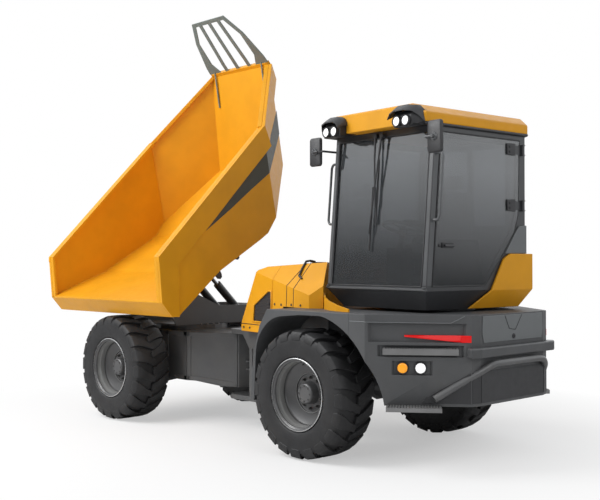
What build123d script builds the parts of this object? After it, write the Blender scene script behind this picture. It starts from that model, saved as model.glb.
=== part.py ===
from build123d import *
import os
from math import atan2, cos, hypot, pi, radians, sin, sqrt

# Rotating dumper: articulated machine with a swivelling tipping skip and a cab that turns on the rear half.
# Machine frame while modelling, in millimetres: X forward, Y left, Z up, floor at Z 0, rear axle at X 0.
# Names ending in _x, _y, _z are places in that frame. The finished pieces are moved so that the origin is
# under the middle of the whole machine.

# Wheels
wheelbase = 3035
tyre_radius = 585
tyre_centre_y = 950
tread_half = 168
lug_count = 20
lug_height = 34
lug_half_width = 30
lug_lead = 85
lug_inner = -14
lug_outer = 214
lug_depth = 70
tyre_facets = 20
wheel_facets = 20
hub_facets = 12
spindle_facets = 12
pin_facets = 12
lamp_facets = 12
ring_facets = 24
rim_width = 420
rim_flange_radius = 328
rim_seat_radius = 302
rim_wall = 14
rim_flange = 15
hub_radius = 95
hub_face = 110
wheel_disc_radius = 170
drum_radius = 125
drum_back = 190
spindle_radius = 55
spindle_clearance = 0.3
spindle_end = 60

# Axles
axle_tube_radius = 75
axle_ball_radius = 150
axle_flange_radius = 110
axle_flange_y = 640
axle_end_gap = 20
axle_pad_length = 180
axle_pad_width = 120

# Rear chassis
rail_y = 450
rail_wall = 20
rail_top_z = 1000
rail_bottom_z = 700
rear_end_x = -1430
belly_x = 760
yoke_wall_x = 1450
yoke_nose_x = 1820
yoke_plate = 50
yoke_plate_back_x = 1230
yoke_bottom_z = 300
pivot_x = 1620
pivot_radius = 60
pivot_clearance = 0.3
cross_members = [(-1410, 20), (-420, 20), (540, 60), (900, 60), (1060, 60)]

# Lashing holes
lash_x = 1640
lash_y = 370
lash_radius = 20
front_lash_y = 420
front_lash_z = 840

# Deck, cover and fenders
deck_z = 1335
deck_plate = 25
body_half = 1125
fender_inner_y = 610
seam_x = -613
cover_corner_x = -795
cover_chamfer_x = -1485
cover_chamfer_y = 570
cover_rear_x = -1510
cover_bottom_z = 575
cover_wall = 62
chamfer_drawn = 885.5
cover_recesses = [(20, 850, 34, 1105, 1262), (100, 830, 26, 985, 1080), (220, 570, 26, 832, 948)]
strip_depth = 16
step_depth = 20

# Cab, in its own frame: X ahead of the driver, Y to the driver's left, turning about Z
cab_axis_x = -600
cab_rest_turn = 85
cab_front = 720
cab_rake = 120
cab_half = 632
cab_pillar_back = -600
cab_rear = -870
cab_rear_half = 250
cab_base_z = 1362
cab_sill_z = 1525
cab_top_z = 2950
cab_crown_z = 3125
cab_wall = 40
cab_post = 70
sill_height = 40
header_height = 60
cab_glass_thickness = 6
door_gap = 6
door_wall = 36
door_hinge_x = -545
hinge_heights = [2290, 2800]
hinge_pin_radius = 9
cowl_top_z = 1850
cowl_stand_off = 26
base_draw = 0.84
cowl_draw = 0.86

# Engine hood
hood_rear_x = 390
hood_split_x = 860
hood_nose_x = 1480
hood_foot_z = 1050.3
hood_shoulder_z = 1460
hood_nose_z = 1690
hood_top_z = 1780
hood_wall = 8
hood_skirt_x = 670
fin_turns = [38, 50, 61, 72, 83]

# Front chassis
front_half = 550
front_waist_x = 2400
front_rear_x = 1800
front_rear_half = 300
front_end_x = 3480
front_top_z = 990
front_bottom_z = 400
front_wall = 20

# Turntable and tipping, in the carrier's own frame: X towards the skip's mouth, turning about Z
swivel_rest_turn = 90
turntable_ring_radius = 450
turntable_ring_z = 990.3
turntable_plate = 50
carrier_y = 400
carrier_wall = 25
tip_pin_f = 620
tip_pin_z = 1450
tip_pin_radius = 30
tip_rest = 45.5
tip_base_f = -620
tip_base_z = 1130
tip_eye_f = -10
tip_eye_z = 1320
tip_cylinder_y = 200
tip_barrel_radius = 48
tip_rod_radius = 28
tip_barrel_length = 540

# Skip and rock guard, in the carrier's frame when it is down for travel
guard_foot_z = 2425
skip_half = 1095
skip_rear_half = 560
skip_wall = 10

# Steering cylinders
steer_arm = 190
steer_cylinder_z = 640
steer_barrel_radius = 45
steer_rod_radius = 25
steer_eye_radius = 42
steer_pin_radius = 18
steer_base_x = 930


def slab_side(corners, y_low, y_high):
    """Solid between two planes across the machine, from its outline (x, z) seen from the side."""
    outline = make_face(Polyline(*[(x, y_low, z) for x, z in corners], close=True))
    return extrude(outline, amount=y_high - y_low, dir=(0, 1, 0))


def slab_end(corners, x_low, x_high):
    """Solid between two planes along the machine, from its outline (y, z) seen from the end."""
    outline = make_face(Polyline(*[(x_low, y, z) for y, z in corners], close=True))
    return extrude(outline, amount=x_high - x_low, dir=(1, 0, 0))


def slab_plan(corners, z_low, z_high):
    """Solid between two heights, from its outline (x, y) seen from above."""
    outline = make_face(Polyline(*[(x, y, z_low) for x, y in corners], close=True))
    return extrude(outline, amount=z_high - z_low, dir=(0, 0, 1))


def block(x_low, x_high, y_low, y_high, z_low, z_high):
    """Plain box between six planes."""
    centre = ((x_low + x_high) / 2, (y_low + y_high) / 2, (z_low + z_high) / 2)
    return Pos(*centre) * Box(x_high - x_low, y_high - y_low, z_high - z_low)


def bar(start, end, radius):
    """Round bar between two points."""
    start, end = Vector(*start), Vector(*end)
    along = end - start
    ends = (Align.CENTER, Align.CENTER, Align.MIN)
    return Plane(origin=start, z_dir=along) * Cylinder(radius, along.length, align=ends)


def rod(start, end, radius, sides=8):
    """Many-sided bar between two points, for what need not be truly round."""
    start, end = Vector(*start), Vector(*end)
    along = end - start
    return extrude(Plane(origin=start, z_dir=along) * RegularPolygon(radius, sides), amount=along.length)


def bore(start, end, radius, sides=8):
    """Many-sided hole in which a round bar of this radius still turns."""
    return rod(start, end, radius / cos(pi / sides), sides)


def pipe(points, radius, sides=8):
    """Many-sided tube along straight runs with mitred corners."""
    path = Polyline(*points)
    section = Plane(origin=path @ 0, z_dir=path % 0) * RegularPolygon(radius, sides)
    return sweep(section, path=path, transition=Transition.RIGHT)


def stack(rings):
    """Solid with flat faces between closed outlines of the same number of corners."""
    faces = [Face(Wire.make_polygon(ring)) for ring in (rings[0], rings[-1])]
    for low, high in zip(rings, rings[1:]):
        for k in range(len(low)):
            faces.append(Face(Wire.make_polygon([low[k - 1], low[k], high[k], high[k - 1]])))
    return Solid(Shell(faces))


def drum(section, sides):
    """Many-sided turned solid about Y, from the (radius, across) of each of its steps."""
    turns = [2 * pi * k / sides for k in range(sides)]
    return stack([[(radius * cos(turn), across, radius * sin(turn)) for turn in turns]
                  for radius, across in section])


def both_sides(shape):
    """The shape and its mirror image across the machine's middle."""
    return [shape, mirror(shape, about=Plane.XZ)]


def mirrored_plan(half):
    """Closed plan outline from the corners of its left half, front to back."""
    return half + [(x, -y) for x, y in reversed(half) if y > 0]


def rim():
    """Left rim with its dished disc, planetary hub and bore for the spindle."""
    half = rim_width / 2
    seat_end = half - rim_flange
    inner = rim_seat_radius - rim_wall
    barrel = drum([(rim_flange_radius, -half), (rim_flange_radius, -seat_end), (rim_seat_radius, -seat_end),
                   (rim_seat_radius, seat_end), (rim_flange_radius, seat_end), (rim_flange_radius, half)],
                  wheel_facets)
    barrel -= drum([(inner, -half - 1), (inner, 45), (wheel_disc_radius, 0), (wheel_disc_radius, -30)],
                   wheel_facets)
    barrel -= drum([(wheel_disc_radius, 20), (inner, 65), (inner, half + 1)], wheel_facets)
    hub = drum([(drum_radius, -drum_back), (drum_radius, 22)], hub_facets)
    hub += drum([(hub_radius + 8, 15), (hub_radius, hub_face - 12), (hub_radius - 12, hub_face)], hub_facets)
    return barrel + hub - bore((0, -drum_back - 1, 0), (0, spindle_end + spindle_clearance, 0),
                               spindle_radius + spindle_clearance, spindle_facets)


def tyre():
    """Left tyre: carcass seated on the rim between its flanges, and two staggered rows of lugs."""
    seat_end = rim_width / 2 - rim_flange
    carcass_radius = tyre_radius - lug_height
    half = [(rim_flange_radius + 8, seat_end), (445, 225), (carcass_radius, tread_half)]
    carcass = drum([(r, -w) for r, w in half] + [(r, w) for r, w in reversed(half)], tyre_facets)
    carcass -= drum([(rim_seat_radius, -300), (rim_seat_radius, 300)], wheel_facets)
    return carcass + [lug for side in (1, -1) for lug in tyre_lugs(side)]


def tyre_lugs(side):
    """Slanting lugs of one half of the tread, their outer ends drawn down over the shoulder."""
    root = tyre_radius - lug_height - lug_depth
    half = lug_half_width - 4
    top = sqrt(tyre_radius ** 2 - (lug_lead / 2 + half) ** 2)
    corners = [(-lug_half_width, root), (lug_half_width, root), (half, top), (-half, top)]
    face = make_face(Polyline(*[(x + lug_lead / 2, side * lug_inner, r) for x, r in corners], close=True))
    run = Vector(-lug_lead, side * (lug_outer - lug_inner), 0)
    lug = extrude(face, amount=run.length, dir=run)
    lug -= slab_end([(side * 165, top + 5), (side * 225, top - 60), (side * 225, top + 5)], -400, 400)
    step = 360 / lug_count
    shift = step / 2 if side > 0 else 0
    return [Rotation(0, shift + step * k, 0) * lug for k in range(lug_count)]


def wheel_place(x, side):
    """Place of a wheel: side 1 is left, and -1 right, with its face outwards."""
    turn = 0 if side > 0 else 180
    return Location((x, side * tyre_centre_y, tyre_radius), (0, 0, turn))


def axle(x, pad_y, seat_z):
    """Axle beam with its ball, end flanges, spindles and two pads under the chassis."""
    beam_end = tyre_centre_y - drum_back - axle_end_gap
    z = tyre_radius
    beam = Pos(x, 0, z) * drum([(axle_tube_radius, -beam_end), (axle_tube_radius, beam_end)], spindle_facets)
    beam += Pos(x, 0, z) * drum([(80, -190), (axle_ball_radius, -70), (axle_ball_radius, 70), (80, 190)],
                                spindle_facets)
    spindle_tip = tyre_centre_y + spindle_end
    beam += rod((x, -spindle_tip, z), (x, spindle_tip, z), spindle_radius, spindle_facets)
    for side in (1, -1):
        beam += rod((x, side * axle_flange_y, z), (x, side * beam_end, z), axle_flange_radius, spindle_facets)
        beam += block(x - axle_pad_length / 2, x + axle_pad_length / 2, side * pad_y - axle_pad_width / 2,
                      side * pad_y + axle_pad_width / 2, z, seat_z)
    return beam


def arch_cut():
    """Space of a rear wheel arch, squarer in front than behind, cut right through to the outside."""
    low, top = 300, 1297
    front = Line((615, low), (585, 930))
    front_arc = ThreePointArc((585, 930), (462, 1175), (245, 1275))
    crown = Line((245, 1275), (-5, top))
    crown_back = Line((-5, top), (-275, top))
    back_arc = ThreePointArc((-275, top), (-697, 1060), (-920, 575))
    back = Line((-920, 575), (-930, low))
    floor = Line((-930, low), (615, low))
    outline = make_face([front, front_arc, crown, crown_back, back_arc, back, floor])
    face = Plane((0, fender_inner_y, 0), x_dir=(1, 0, 0), z_dir=(0, -1, 0)) * outline
    return extrude(face, amount=body_half - fender_inner_y + 60, dir=(0, 1, 0))


def rear_fender():
    """Left fender, from its toe in front of the wheel to the seam of the rear cover."""
    front = [(seam_x, deck_z), (430, deck_z), (443, 1318), (535, 1178), (605, 951), (640, 762), (655, 526),
             (655, 470), (seam_x, 470)]
    whole = slab_side(front, fender_inner_y, body_half)
    return whole - arch_cut()


def cover_plan(inset):
    """Half-octagon outline of the rear cover, drawn in by an inset."""
    lean = 0.41 * inset
    return mirrored_plan([
        (seam_x, body_half - inset), (cover_corner_x + lean, body_half - inset),
        (cover_chamfer_x + inset, cover_chamfer_y - lean),
        (cover_rear_x + inset, cover_chamfer_y - 90 - lean)])


def rear_cover():
    """Moulded housing round the machine's back: walls, top and both wheel arch ends."""
    whole = slab_plan(cover_plan(0), cover_bottom_z, deck_z)
    inside = slab_plan(cover_plan(cover_wall), cover_bottom_z - 10, deck_z - deck_plate)
    whole = whole - inside
    recesses = [chamfer_recess(*sizes) for sizes in cover_recesses]
    for cut in both_sides(recesses[0] + recesses[1] + recesses[2]):
        whole = whole - cut
    for cut in both_sides(arch_cut()):
        whole = whole - cut
    return whole


def chamfer_point(side, along, z, out=0):
    """Point on a rear corner's slanting face: along it, as if it were chamfer_drawn long, and out from it."""
    length = hypot(cover_chamfer_x - cover_corner_x, cover_chamfer_y - body_half)
    dx = (cover_chamfer_x - cover_corner_x) / length
    dy = (cover_chamfer_y - body_half) / length
    distance = along * length / chamfer_drawn
    x = cover_corner_x + dx * distance + dy * out
    y = body_half + dy * distance - dx * out
    return (x, side * y, z)


def chamfer_block(along_low, along_high, out_low, out_high, z_low, z_high):
    """Box that follows the left rear corner's slanting face."""
    corners = [chamfer_point(1, a, 0, o)[:2] for a, o in
               ((along_low, out_low), (along_high, out_low), (along_high, out_high), (along_low, out_high))]
    return slab_plan(corners, z_low, z_high)


def chamfer_recess(along_low, along_high, depth, z_low, z_high):
    """Trough in the left rear corner's slanting face, with sloping ends."""
    corners = [chamfer_point(1, along, 0, out)[:2] for along, out in (
        (along_low, 5), (along_high, 5), (along_high - depth, -depth), (along_low + depth, -depth))]
    return slab_plan(corners, z_low, z_high)


def cut_beyond(points, away):
    """Large block beyond the plane through three points, on the side that `away` points to."""
    a, b, c = [Vector(*p) for p in points]
    normal = (b - a).cross(c - a).normalized()
    if normal.dot(Vector(*away)) < 0:
        normal = normal * -1
    return Plane(origin=a, z_dir=normal) * Box(9000, 9000, 3000, align=(Align.CENTER, Align.CENTER, Align.MIN))


nodes = {}


def add(name, *shapes):
    """Keep a node's solids under its name."""
    solids = []
    for shape in shapes:
        if isinstance(shape, (list, tuple)):
            for one in shape:
                solids += one.solids()
        else:
            solids += shape.solids()
    nodes[name] = solids


# Wheels and axles
for name, x, side in (("rear_left", 0, 1), ("rear_right", 0, -1),
                      ("front_left", wheelbase, 1), ("front_right", wheelbase, -1)):
    add("tyre_" + name, wheel_place(x, side) * tyre())
    add("rim_" + name, wheel_place(x, side) * rim())
add("rear_axle", axle(0, rail_y - rail_wall, rail_bottom_z))
add("front_axle", axle(wheelbase, front_half - front_wall - 60, 690))

# Rear chassis: side rails, yoke plates, cross members and the pedestal under the cab
rail_outline = [(rear_end_x, rail_bottom_z), (620, rail_bottom_z), (belly_x, yoke_bottom_z + yoke_plate),
                (yoke_wall_x, yoke_bottom_z + yoke_plate), (yoke_wall_x, 860), (yoke_wall_x + 110, rail_top_z),
                (rear_end_x, rail_top_z)]
rear_frame = slab_side(rail_outline, rail_y - rail_wall, rail_y) + slab_side(rail_outline, -rail_y,
                                                                             rail_wall - rail_y)
nose = [(yoke_plate_back_x, rail_y), (yoke_nose_x - 70, rail_y), (yoke_nose_x, rail_y - 70)]
rear_frame += slab_plan(mirrored_plan(nose), rail_top_z, rail_top_z + yoke_plate)
belly = [(belly_x, rail_y)] + nose[1:]
rear_frame += slab_plan(mirrored_plan(belly), yoke_bottom_z, yoke_bottom_z + yoke_plate)
for member_x, member_wall in cross_members:
    rear_frame += block(member_x, member_x + member_wall, -rail_y + 5, rail_y - 5, rail_bottom_z,
                        rail_bottom_z + 60)
rear_frame += block(rear_end_x, rear_end_x + 20, -rail_y + 5, rail_y - 5, rail_bottom_z, rail_top_z)
pedestal = block(-1020, -180, -rail_y, rail_y, rail_top_z, deck_z - deck_plate)
pedestal -= block(-1000, -200, -rail_y + 20, rail_y - 20, rail_top_z - 1, deck_z - deck_plate + 1)
rear_frame += pedestal
for side in (1, -1):
    rear_frame += rod((steer_base_x, side * steer_arm, steer_cylinder_z - 50),
                      (steer_base_x, side * steer_arm, rail_bottom_z + 10), steer_pin_radius, pin_facets)
yoke_top_z = rail_top_z + yoke_plate
rear_frame += rod((pivot_x, 0, yoke_bottom_z - 60), (pivot_x, 0, yoke_top_z + 25), pivot_radius, spindle_facets)
rear_frame += rod((pivot_x, 0, yoke_top_z), (pivot_x, 0, yoke_top_z + 30), 90, spindle_facets)
for side in (1, -1):
    rear_frame -= bar((lash_x, side * lash_y, rail_top_z - 10), (lash_x, side * lash_y, yoke_top_z + 10),
                      lash_radius)
add("rear_frame", rear_frame)

# Deck between the fenders, with the fenders' inner edges against it
deck = block(seam_x, hood_rear_x, -fender_inner_y, fender_inner_y, deck_z - deck_plate, deck_z)
add("deck", deck)
add("rear_fenders", both_sides(rear_fender()))
add("rear_cover", rear_cover())

# Rear corners: steps, lamps, bumper and guard
steps = []
lamps = []
strips = []
markers = []
strip_recess, step_recess, lamp_recess = cover_recesses
red_strip = chamfer_block(330, 800, -strip_recess[2] + 0.3, -strip_depth, 1106, 1165)
strip_taper = [chamfer_point(1, 325, 1150, -60), chamfer_point(1, 805, 1105, -60),
               chamfer_point(1, 805, 1105, 60)]
for shape, group in ((chamfer_block(150, 780, -step_recess[2] + 0.3, step_depth, 1000, 1052), steps),
                     (chamfer_block(180, 640, -60, 120, 540, cover_bottom_z - 0.3), steps),
                     (red_strip - cut_beyond(strip_taper, (0, 0, -1)), strips)):
    group += both_sides(shape)
for along, group in ((315, lamps), (465, markers)):
    lamp = rod(chamfer_point(1, along, 890, 0.3 - lamp_recess[2]), chamfer_point(1, along, 890, 8), 42, lamp_facets)
    group += both_sides(lamp)
add("rear_steps", steps)
add("tail_strips", strips)
add("turn_lamps", lamps)
add("marker_lamps", markers)
bumper = slab_plan([(-1460, 560), (-1460, -560), (-1475, -620), (-1530, -635), (-1575, -560), (-1575, 560),
                    (-1530, 635), (-1475, 620)], 980, 1065)
bumper -= slab_plan(cover_plan(-0.3), 900, 1100)
add("bumper_bar", bumper)
guard_half = [(-1270, 790, 640), (-1515, 500, 860), (-1556, 400, 912), (-1560, 330, 925)]
guard_path = guard_half + [(x, -y, z) for x, y, z in reversed(guard_half)]
add("tube_guard", pipe(guard_path, 32, 10) - slab_plan(cover_plan(-0.3), 400, 1400))

# Engine hood
def hood_body(inset):
    """Hood as the overlap of its side profile, its end section and its plan, drawn in by an inset."""
    profile = [(100, 1000), (hood_nose_x - inset, 1000), (hood_nose_x - inset, 1130),
               (1170 - inset, hood_nose_z - inset), (1060 - inset, 1725 - inset), (100, hood_top_z - inset)]
    section = [(780 - inset, 1000), (780 - inset, hood_shoulder_z), (480 - inset, hood_top_z + 20 - inset),
               (-480 + inset, hood_top_z + 20 - inset), (-780 + inset, hood_shoulder_z), (-780 + inset, 1000)]
    plan = mirrored_plan([(hood_nose_x + 1, 540 - inset), (220 + inset / 2, 780 - inset),
                          (110 + 1.5 * inset, 700 - 0.5 * inset), (300 + 1.3 * inset, 430),
                          (385 + 1.1 * inset, 150)])
    body = slab_side(profile, -900, 900) & slab_end(section, 0, 2000) & slab_plan(plan, 900, 2000)
    return body


hood = hood_body(0) - hood_body(hood_wall)
fin_inner, fin_outer = [[(cab_axis_x + radius * cos(radians(turn)), radius * sin(radians(turn)))
                         for turn in fin_turns] for radius in (980, 995)]
fin = slab_plan(fin_outer + fin_inner[::-1], 1330, 1510)
fin &= slab_side([(-700, 1300), (-490, 1360), (110, 1462), (300, 1500), (300, 1300)], 0, 1100)
hood += both_sides(fin)
hood -= block(-900, hood_skirt_x, -1100, 1100, 900, deck_z + 0.3)
hood -= block(hood_skirt_x - 1, 2000, -900, 900, 900, hood_foot_z)
side_window_outline = [(880, 1480), (945, 1480), (1215, 1330), (1240, 1160), (880, 1160)]
side_window_cover = [(865, 1495), (955, 1495), (1230, 1340), (1256, 1145), (865, 1145)]
mesh_hole = [(-330, 1360), (330, 1360), (300, 1570), (-300, 1570)]
mesh_cover = [(-345, 1345), (345, 1345), (315, 1585), (-315, 1585)]
lining = hood_body(hood_wall) - hood_body(hood_wall + 4)
grilles = []
for y_low, y_high in ((400, 900), (-900, -400)):
    hood -= slab_side(side_window_outline, y_low, y_high)
    grilles.append(lining & slab_side(side_window_cover, y_low, y_high))
hood -= slab_end(mesh_hole, 1175, 1500)
grilles.append(lining & slab_end(mesh_cover, 1175, 1500))
add("hood_grilles", grilles)
add("hood_front", hood & block(hood_split_x + 2, 2000, -900, 900, 900, 2000))
add("hood_rear", hood & block(-900, hood_split_x - 2, -1100, 1100, 900, 2000))
add("engine_block", block(470, 1170, -260, 260, rail_bottom_z + 60, 1420))

# Cab slew ring on the deck
ring = rod((cab_axis_x, 0, deck_z), (cab_axis_x, 0, cab_base_z - 0.5), 420, ring_facets)
ring -= rod((cab_axis_x, 0, deck_z - 1), (cab_axis_x, 0, cab_base_z + 1), 330, ring_facets)
add("slew_ring", ring)

# Steering cylinders: barrels on the rear chassis, rods to the front chassis
barrels = []
for side in (1, -1):
    y = side * steer_arm
    barrel = rod((960, y, steer_cylinder_z), (1390, y, steer_cylinder_z), steer_barrel_radius, pin_facets)
    barrel -= bore((985, y, steer_cylinder_z), (1400, y, steer_cylinder_z), steer_rod_radius + 0.3, pin_facets)
    barrel += rod((steer_base_x, y, steer_cylinder_z - 35), (steer_base_x, y, steer_cylinder_z + 35),
                  steer_eye_radius, pin_facets)
    barrel -= bore((steer_base_x, y, 500), (steer_base_x, y, 800), steer_pin_radius + spindle_clearance,
                   pin_facets)
    barrels.append(barrel)
    piston_rod = rod((1180, y, steer_cylinder_z), (pivot_x, y, steer_cylinder_z), steer_rod_radius, pin_facets)
    piston_rod += rod((pivot_x, y, steer_cylinder_z - 32), (pivot_x, y, steer_cylinder_z + 32),
                      steer_eye_radius, pin_facets)
    add("steer_rod_left" if side > 0 else "steer_rod_right", piston_rod)
add("steer_barrels", barrels)

# Front chassis: box of side plates, deck and belly, with the pivot block between the yoke's plates
front_plan = [(front_end_x, front_half), (front_waist_x, front_half), (front_rear_x, front_rear_half),
              (pivot_x + 60, 120)]
front_side = [(pivot_x - 150, front_top_z), (pivot_x - 150, front_bottom_z), (2000, front_bottom_z),
              (2300, front_bottom_z + 45), (2600, front_bottom_z + 45), (2800, front_bottom_z),
              (2860, front_bottom_z), (2900, 690), (front_end_x, 690), (front_end_x, front_top_z)]
front = slab_plan(mirrored_plan(front_plan), front_bottom_z - 20, front_top_z)
front &= slab_side(front_side, -front_half, front_half)
hollow = [(front_end_x - 20, front_half - 20), (front_waist_x, front_half - 20),
          (front_rear_x + 40, front_rear_half - 20)]
front -= slab_plan(mirrored_plan(hollow), front_bottom_z - 30, front_top_z - 20)
front += rod((pivot_x, 0, front_bottom_z), (pivot_x, 0, front_top_z), 130, spindle_facets)
front -= bore((pivot_x, 0, 100), (pivot_x, 0, 1200), pivot_radius + pivot_clearance, spindle_facets)
gap = 40
front -= block(pivot_x - 200, pivot_x + 75, -400, 400, steer_cylinder_z - gap, steer_cylinder_z + gap) - rod(
    (pivot_x, 0, 0), (pivot_x, 0, 1200), 110, spindle_facets)
for side in (1, -1):
    for z in (steer_cylinder_z - 53, steer_cylinder_z + 33):
        front += slab_plan([(pivot_x - 40, side * 155), (1770, side * 155), (1770, side * 235),
                            (pivot_x - 40, side * 235)], z, z + 20)
for side in (1, -1):
    front -= bar((front_end_x - 40, side * front_lash_y, front_lash_z),
                 (front_end_x + 10, side * front_lash_y, front_lash_z), lash_radius)
add("front_frame", front)

# Skip carrier
carrier_at = Location((wheelbase, 0, 0), (0, 0, swivel_rest_turn))
turntable = rod((0, 0, turntable_ring_z), (0, 0, turntable_ring_z + turntable_plate), turntable_ring_radius,
                ring_facets)
cheek = [(520, 1046), (690, 1385), (668, tip_pin_z), (572, tip_pin_z), (540, 1432), (280, 1420),
         (-100, 1256), (-950, 1250), (-950, 1200), (-640, 1200), (-420, 1046)]
for y in (carrier_y, -carrier_y + carrier_wall):
    turntable += slab_side(cheek, y - carrier_wall, y)
    turntable += rod((tip_pin_f, y - carrier_wall, tip_pin_z), (tip_pin_f, y, tip_pin_z), 48, 12)
base_plate = mirrored_plan([(520, 380), (-420, 380), (-640, 262)])
turntable += slab_plan(base_plate, turntable_ring_z + turntable_plate, turntable_ring_z + turntable_plate + 20)
turntable += rod((-900, -380, 1225), (-900, 380, 1225), 22)
turntable += rod((tip_pin_f, -carrier_y - 70, tip_pin_z), (tip_pin_f, carrier_y + 70, tip_pin_z),
                 tip_pin_radius, pin_facets)
for y in (tip_cylinder_y, -tip_cylinder_y):
    for ear_y in (y - 58, y + 38):
        turntable += slab_side([(-640, 1060), (-540, 1060), (-585, 1175), (-655, 1175), (-675, 1130)],
                               ear_y, ear_y + 20)
    turntable += rod((tip_base_f, y - 58, tip_base_z), (tip_base_f, y + 58, tip_base_z), 22, pin_facets)
add("turntable", carrier_at * turntable)


def raised(f, z):
    """A point of the skip, given for travel, when the skip is up as it rests here."""
    angle = radians(tip_rest)
    df, dz = f - tip_pin_f, z - tip_pin_z
    return (tip_pin_f + df * cos(angle) + dz * sin(angle), tip_pin_z - df * sin(angle) + dz * cos(angle))


eye_f, eye_z = raised(tip_eye_f, tip_eye_z)
lean = atan2(eye_z - tip_base_z, eye_f - tip_base_f)
reach = hypot(eye_z - tip_base_z, eye_f - tip_base_f)


def along_cylinder(distance, y):
    """Point on a tip cylinder's axis, by the distance from its base pin."""
    return (tip_base_f + distance * cos(lean), y, tip_base_z + distance * sin(lean))


tip_barrels, tip_rods = [], []
for y in (tip_cylinder_y, -tip_cylinder_y):
    barrel = rod(along_cylinder(95, y), along_cylinder(tip_barrel_length, y), tip_barrel_radius, pin_facets)
    barrel += rod(along_cylinder(30, y), along_cylinder(100, y), 34, pin_facets)
    barrel += rod((tip_base_f, y - 37, tip_base_z), (tip_base_f, y + 37, tip_base_z), 50, pin_facets)
    barrel -= bore((tip_base_f, y - 60, tip_base_z), (tip_base_f, y + 60, tip_base_z), 22.3, pin_facets)
    barrel -= bore(along_cylinder(110, y), along_cylinder(tip_barrel_length + 10, y), tip_rod_radius + 0.3,
                   pin_facets)
    tip_barrels.append(carrier_at * barrel)
    ram = rod(along_cylinder(tip_barrel_length - 80, y), along_cylinder(reach, y), tip_rod_radius, pin_facets)
    ram += rod((eye_f, y - 30, eye_z), (eye_f, y + 30, eye_z), 46, pin_facets)
    tip_rods.append(carrier_at * ram)
add("tip_barrels", tip_barrels)
add("tip_rods", tip_rods)

# Skip
skip_at = carrier_at * Location((tip_pin_f, 0, tip_pin_z)) * Rotation(0, tip_rest, 0) * Location(
    (-tip_pin_f, 0, -tip_pin_z))
skip_front = [(820, 2190), (1134, 1823), (1150, 1625), (1080, 1552)]
skip_under = [(340, 1485), (-320, 1310), (-460, 1280), (-680, 1320)]
skip_rear_low, skip_rear_top, skip_bend = (-1560, 1400), (-2310, 2390), (-1270, 2200)


def boat_cut(side, inset):
    """What lies outside the slanting rear panel of one side."""
    points = [(-680 + inset * 0.8, side * (skip_half - inset), 1320),
              (-1270 + inset * 0.8, side * (skip_half - inset), 2200),
              (-2310 + inset * 0.8, side * (skip_rear_half - inset), 2390)]
    return cut_beyond(points, (-1, side, 0))


skip_rear = [skip_rear_low, skip_rear_top, skip_bend]
skip_outside = slab_side(skip_front + skip_under + skip_rear, -skip_half, skip_half)
w = skip_wall
cavity = [(900, 2300), (1400, 1900), (1400, 1836), (1120, 1836), (400, 1512), (330, 1497), (-322, 1323),
          (-460, 1293), (-677, 1330), (-1555, 1410), (-2305, 2400), (-2305, 2700), (-1270, 2500)]
skip_inside = slab_side(cavity, -skip_half + w, skip_half - w)
for side in (1, -1):
    skip_outside -= boat_cut(side, 0)
    skip_inside -= boat_cut(side, w)
skip = skip_outside - skip_inside
for side in (1, -1):
    rail = slab_side([(820, 2190), (860, 2150), (-1250, 2110), (-1270, 2200)],
                     side * (skip_half + 15) - 15, side * (skip_half + 15) + 15)
    skip += rail
    lug = slab_side([(700, 1500), (700, 1400), (660, 1385), (580, 1385), (540, 1400), (500, 1528)],
                    side * (carrier_y + 35) - 15, side * (carrier_y + 35) + 15)
    lug -= bore((tip_pin_f, -900, tip_pin_z), (tip_pin_f, 900, tip_pin_z), tip_pin_radius + 0.3, pin_facets)
    skip += lug
    for ear in (-52, 32):
        y = side * tip_cylinder_y + ear
        skip += slab_side([(80, 1425), (-120, 1370), (-60, 1290), (40, 1290)], y, y + 20)
skip += slab_side([(-2345, 2372), (-2290, 2372), (-2290, guard_foot_z - 0.3), (-2345, guard_foot_z - 0.3)],
                  -540, 540)
add("skip", skip_at * skip)
guard_x, guard_lean, guard_plate = -2312, -22, 12
guard_knee_z, guard_top_z = 2880, 3150


def guard_strip(corners):
    """Flat piece of the rock guard from its outline (y, z) seen from behind, leaning with the guard."""
    low = [(guard_x + guard_lean * (z - guard_foot_z) / 700, y, z) for y, z in corners]
    return extrude(make_face(Polyline(*low, close=True)), amount=guard_plate, dir=(1, 0, 0))


guard = guard_strip([(-325, guard_top_z - 50), (325, guard_top_z - 50), (300, guard_top_z),
                     (-300, guard_top_z)])
for side in (1, -1):
    guard += guard_strip([(side * y, z) for y, z in (
        (340, guard_foot_z), (560, guard_foot_z), (552, 2520), (455, guard_knee_z), (305, guard_top_z),
        (265, guard_top_z - 45), (400, guard_knee_z - 15), (415, 2560))])
for low_y, high_y in ((-215, -170), (0, 0), (215, 170)):
    guard += guard_strip([(low_y - 26, guard_foot_z), (low_y + 26, guard_foot_z), (low_y + 26, 2520),
                          (high_y + 26, guard_top_z - 20), (high_y - 26, guard_top_z - 20), (low_y - 26, 2520)])
for side in (1, -1):
    wing = [(guard_x, guard_foot_z), (guard_x + guard_plate, guard_foot_z + 22), (-2030, 2070), (-2044, 2060),
            (-2289.7, 2408), (-2289.7, guard_foot_z)]
    guard += slab_side(wing, side * 450 - 8, side * 450 + 8)
add("rock_guard", skip_at * guard)

# Cab
cab_at = Location((cab_axis_x, 0, 0), (0, 0, cab_rest_turn))
cab_outline = [(cab_front, cab_half), (cab_pillar_back, cab_half), (cab_rear, cab_rear_half)]


def front_x(z):
    """Where the raked front of the cab is at a height."""
    return cab_front - cab_rake * (z - cab_sill_z) / (cab_top_z - cab_sill_z)


def cab_plan(inset):
    """Cab's outline seen from above, drawn in by an inset."""
    return mirrored_plan([(cab_front - inset, cab_half - inset),
                          (cab_pillar_back + 0.6 * inset, cab_half - inset),
                          (cab_rear + inset, cab_rear_half - 0.3 * inset)])


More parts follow.
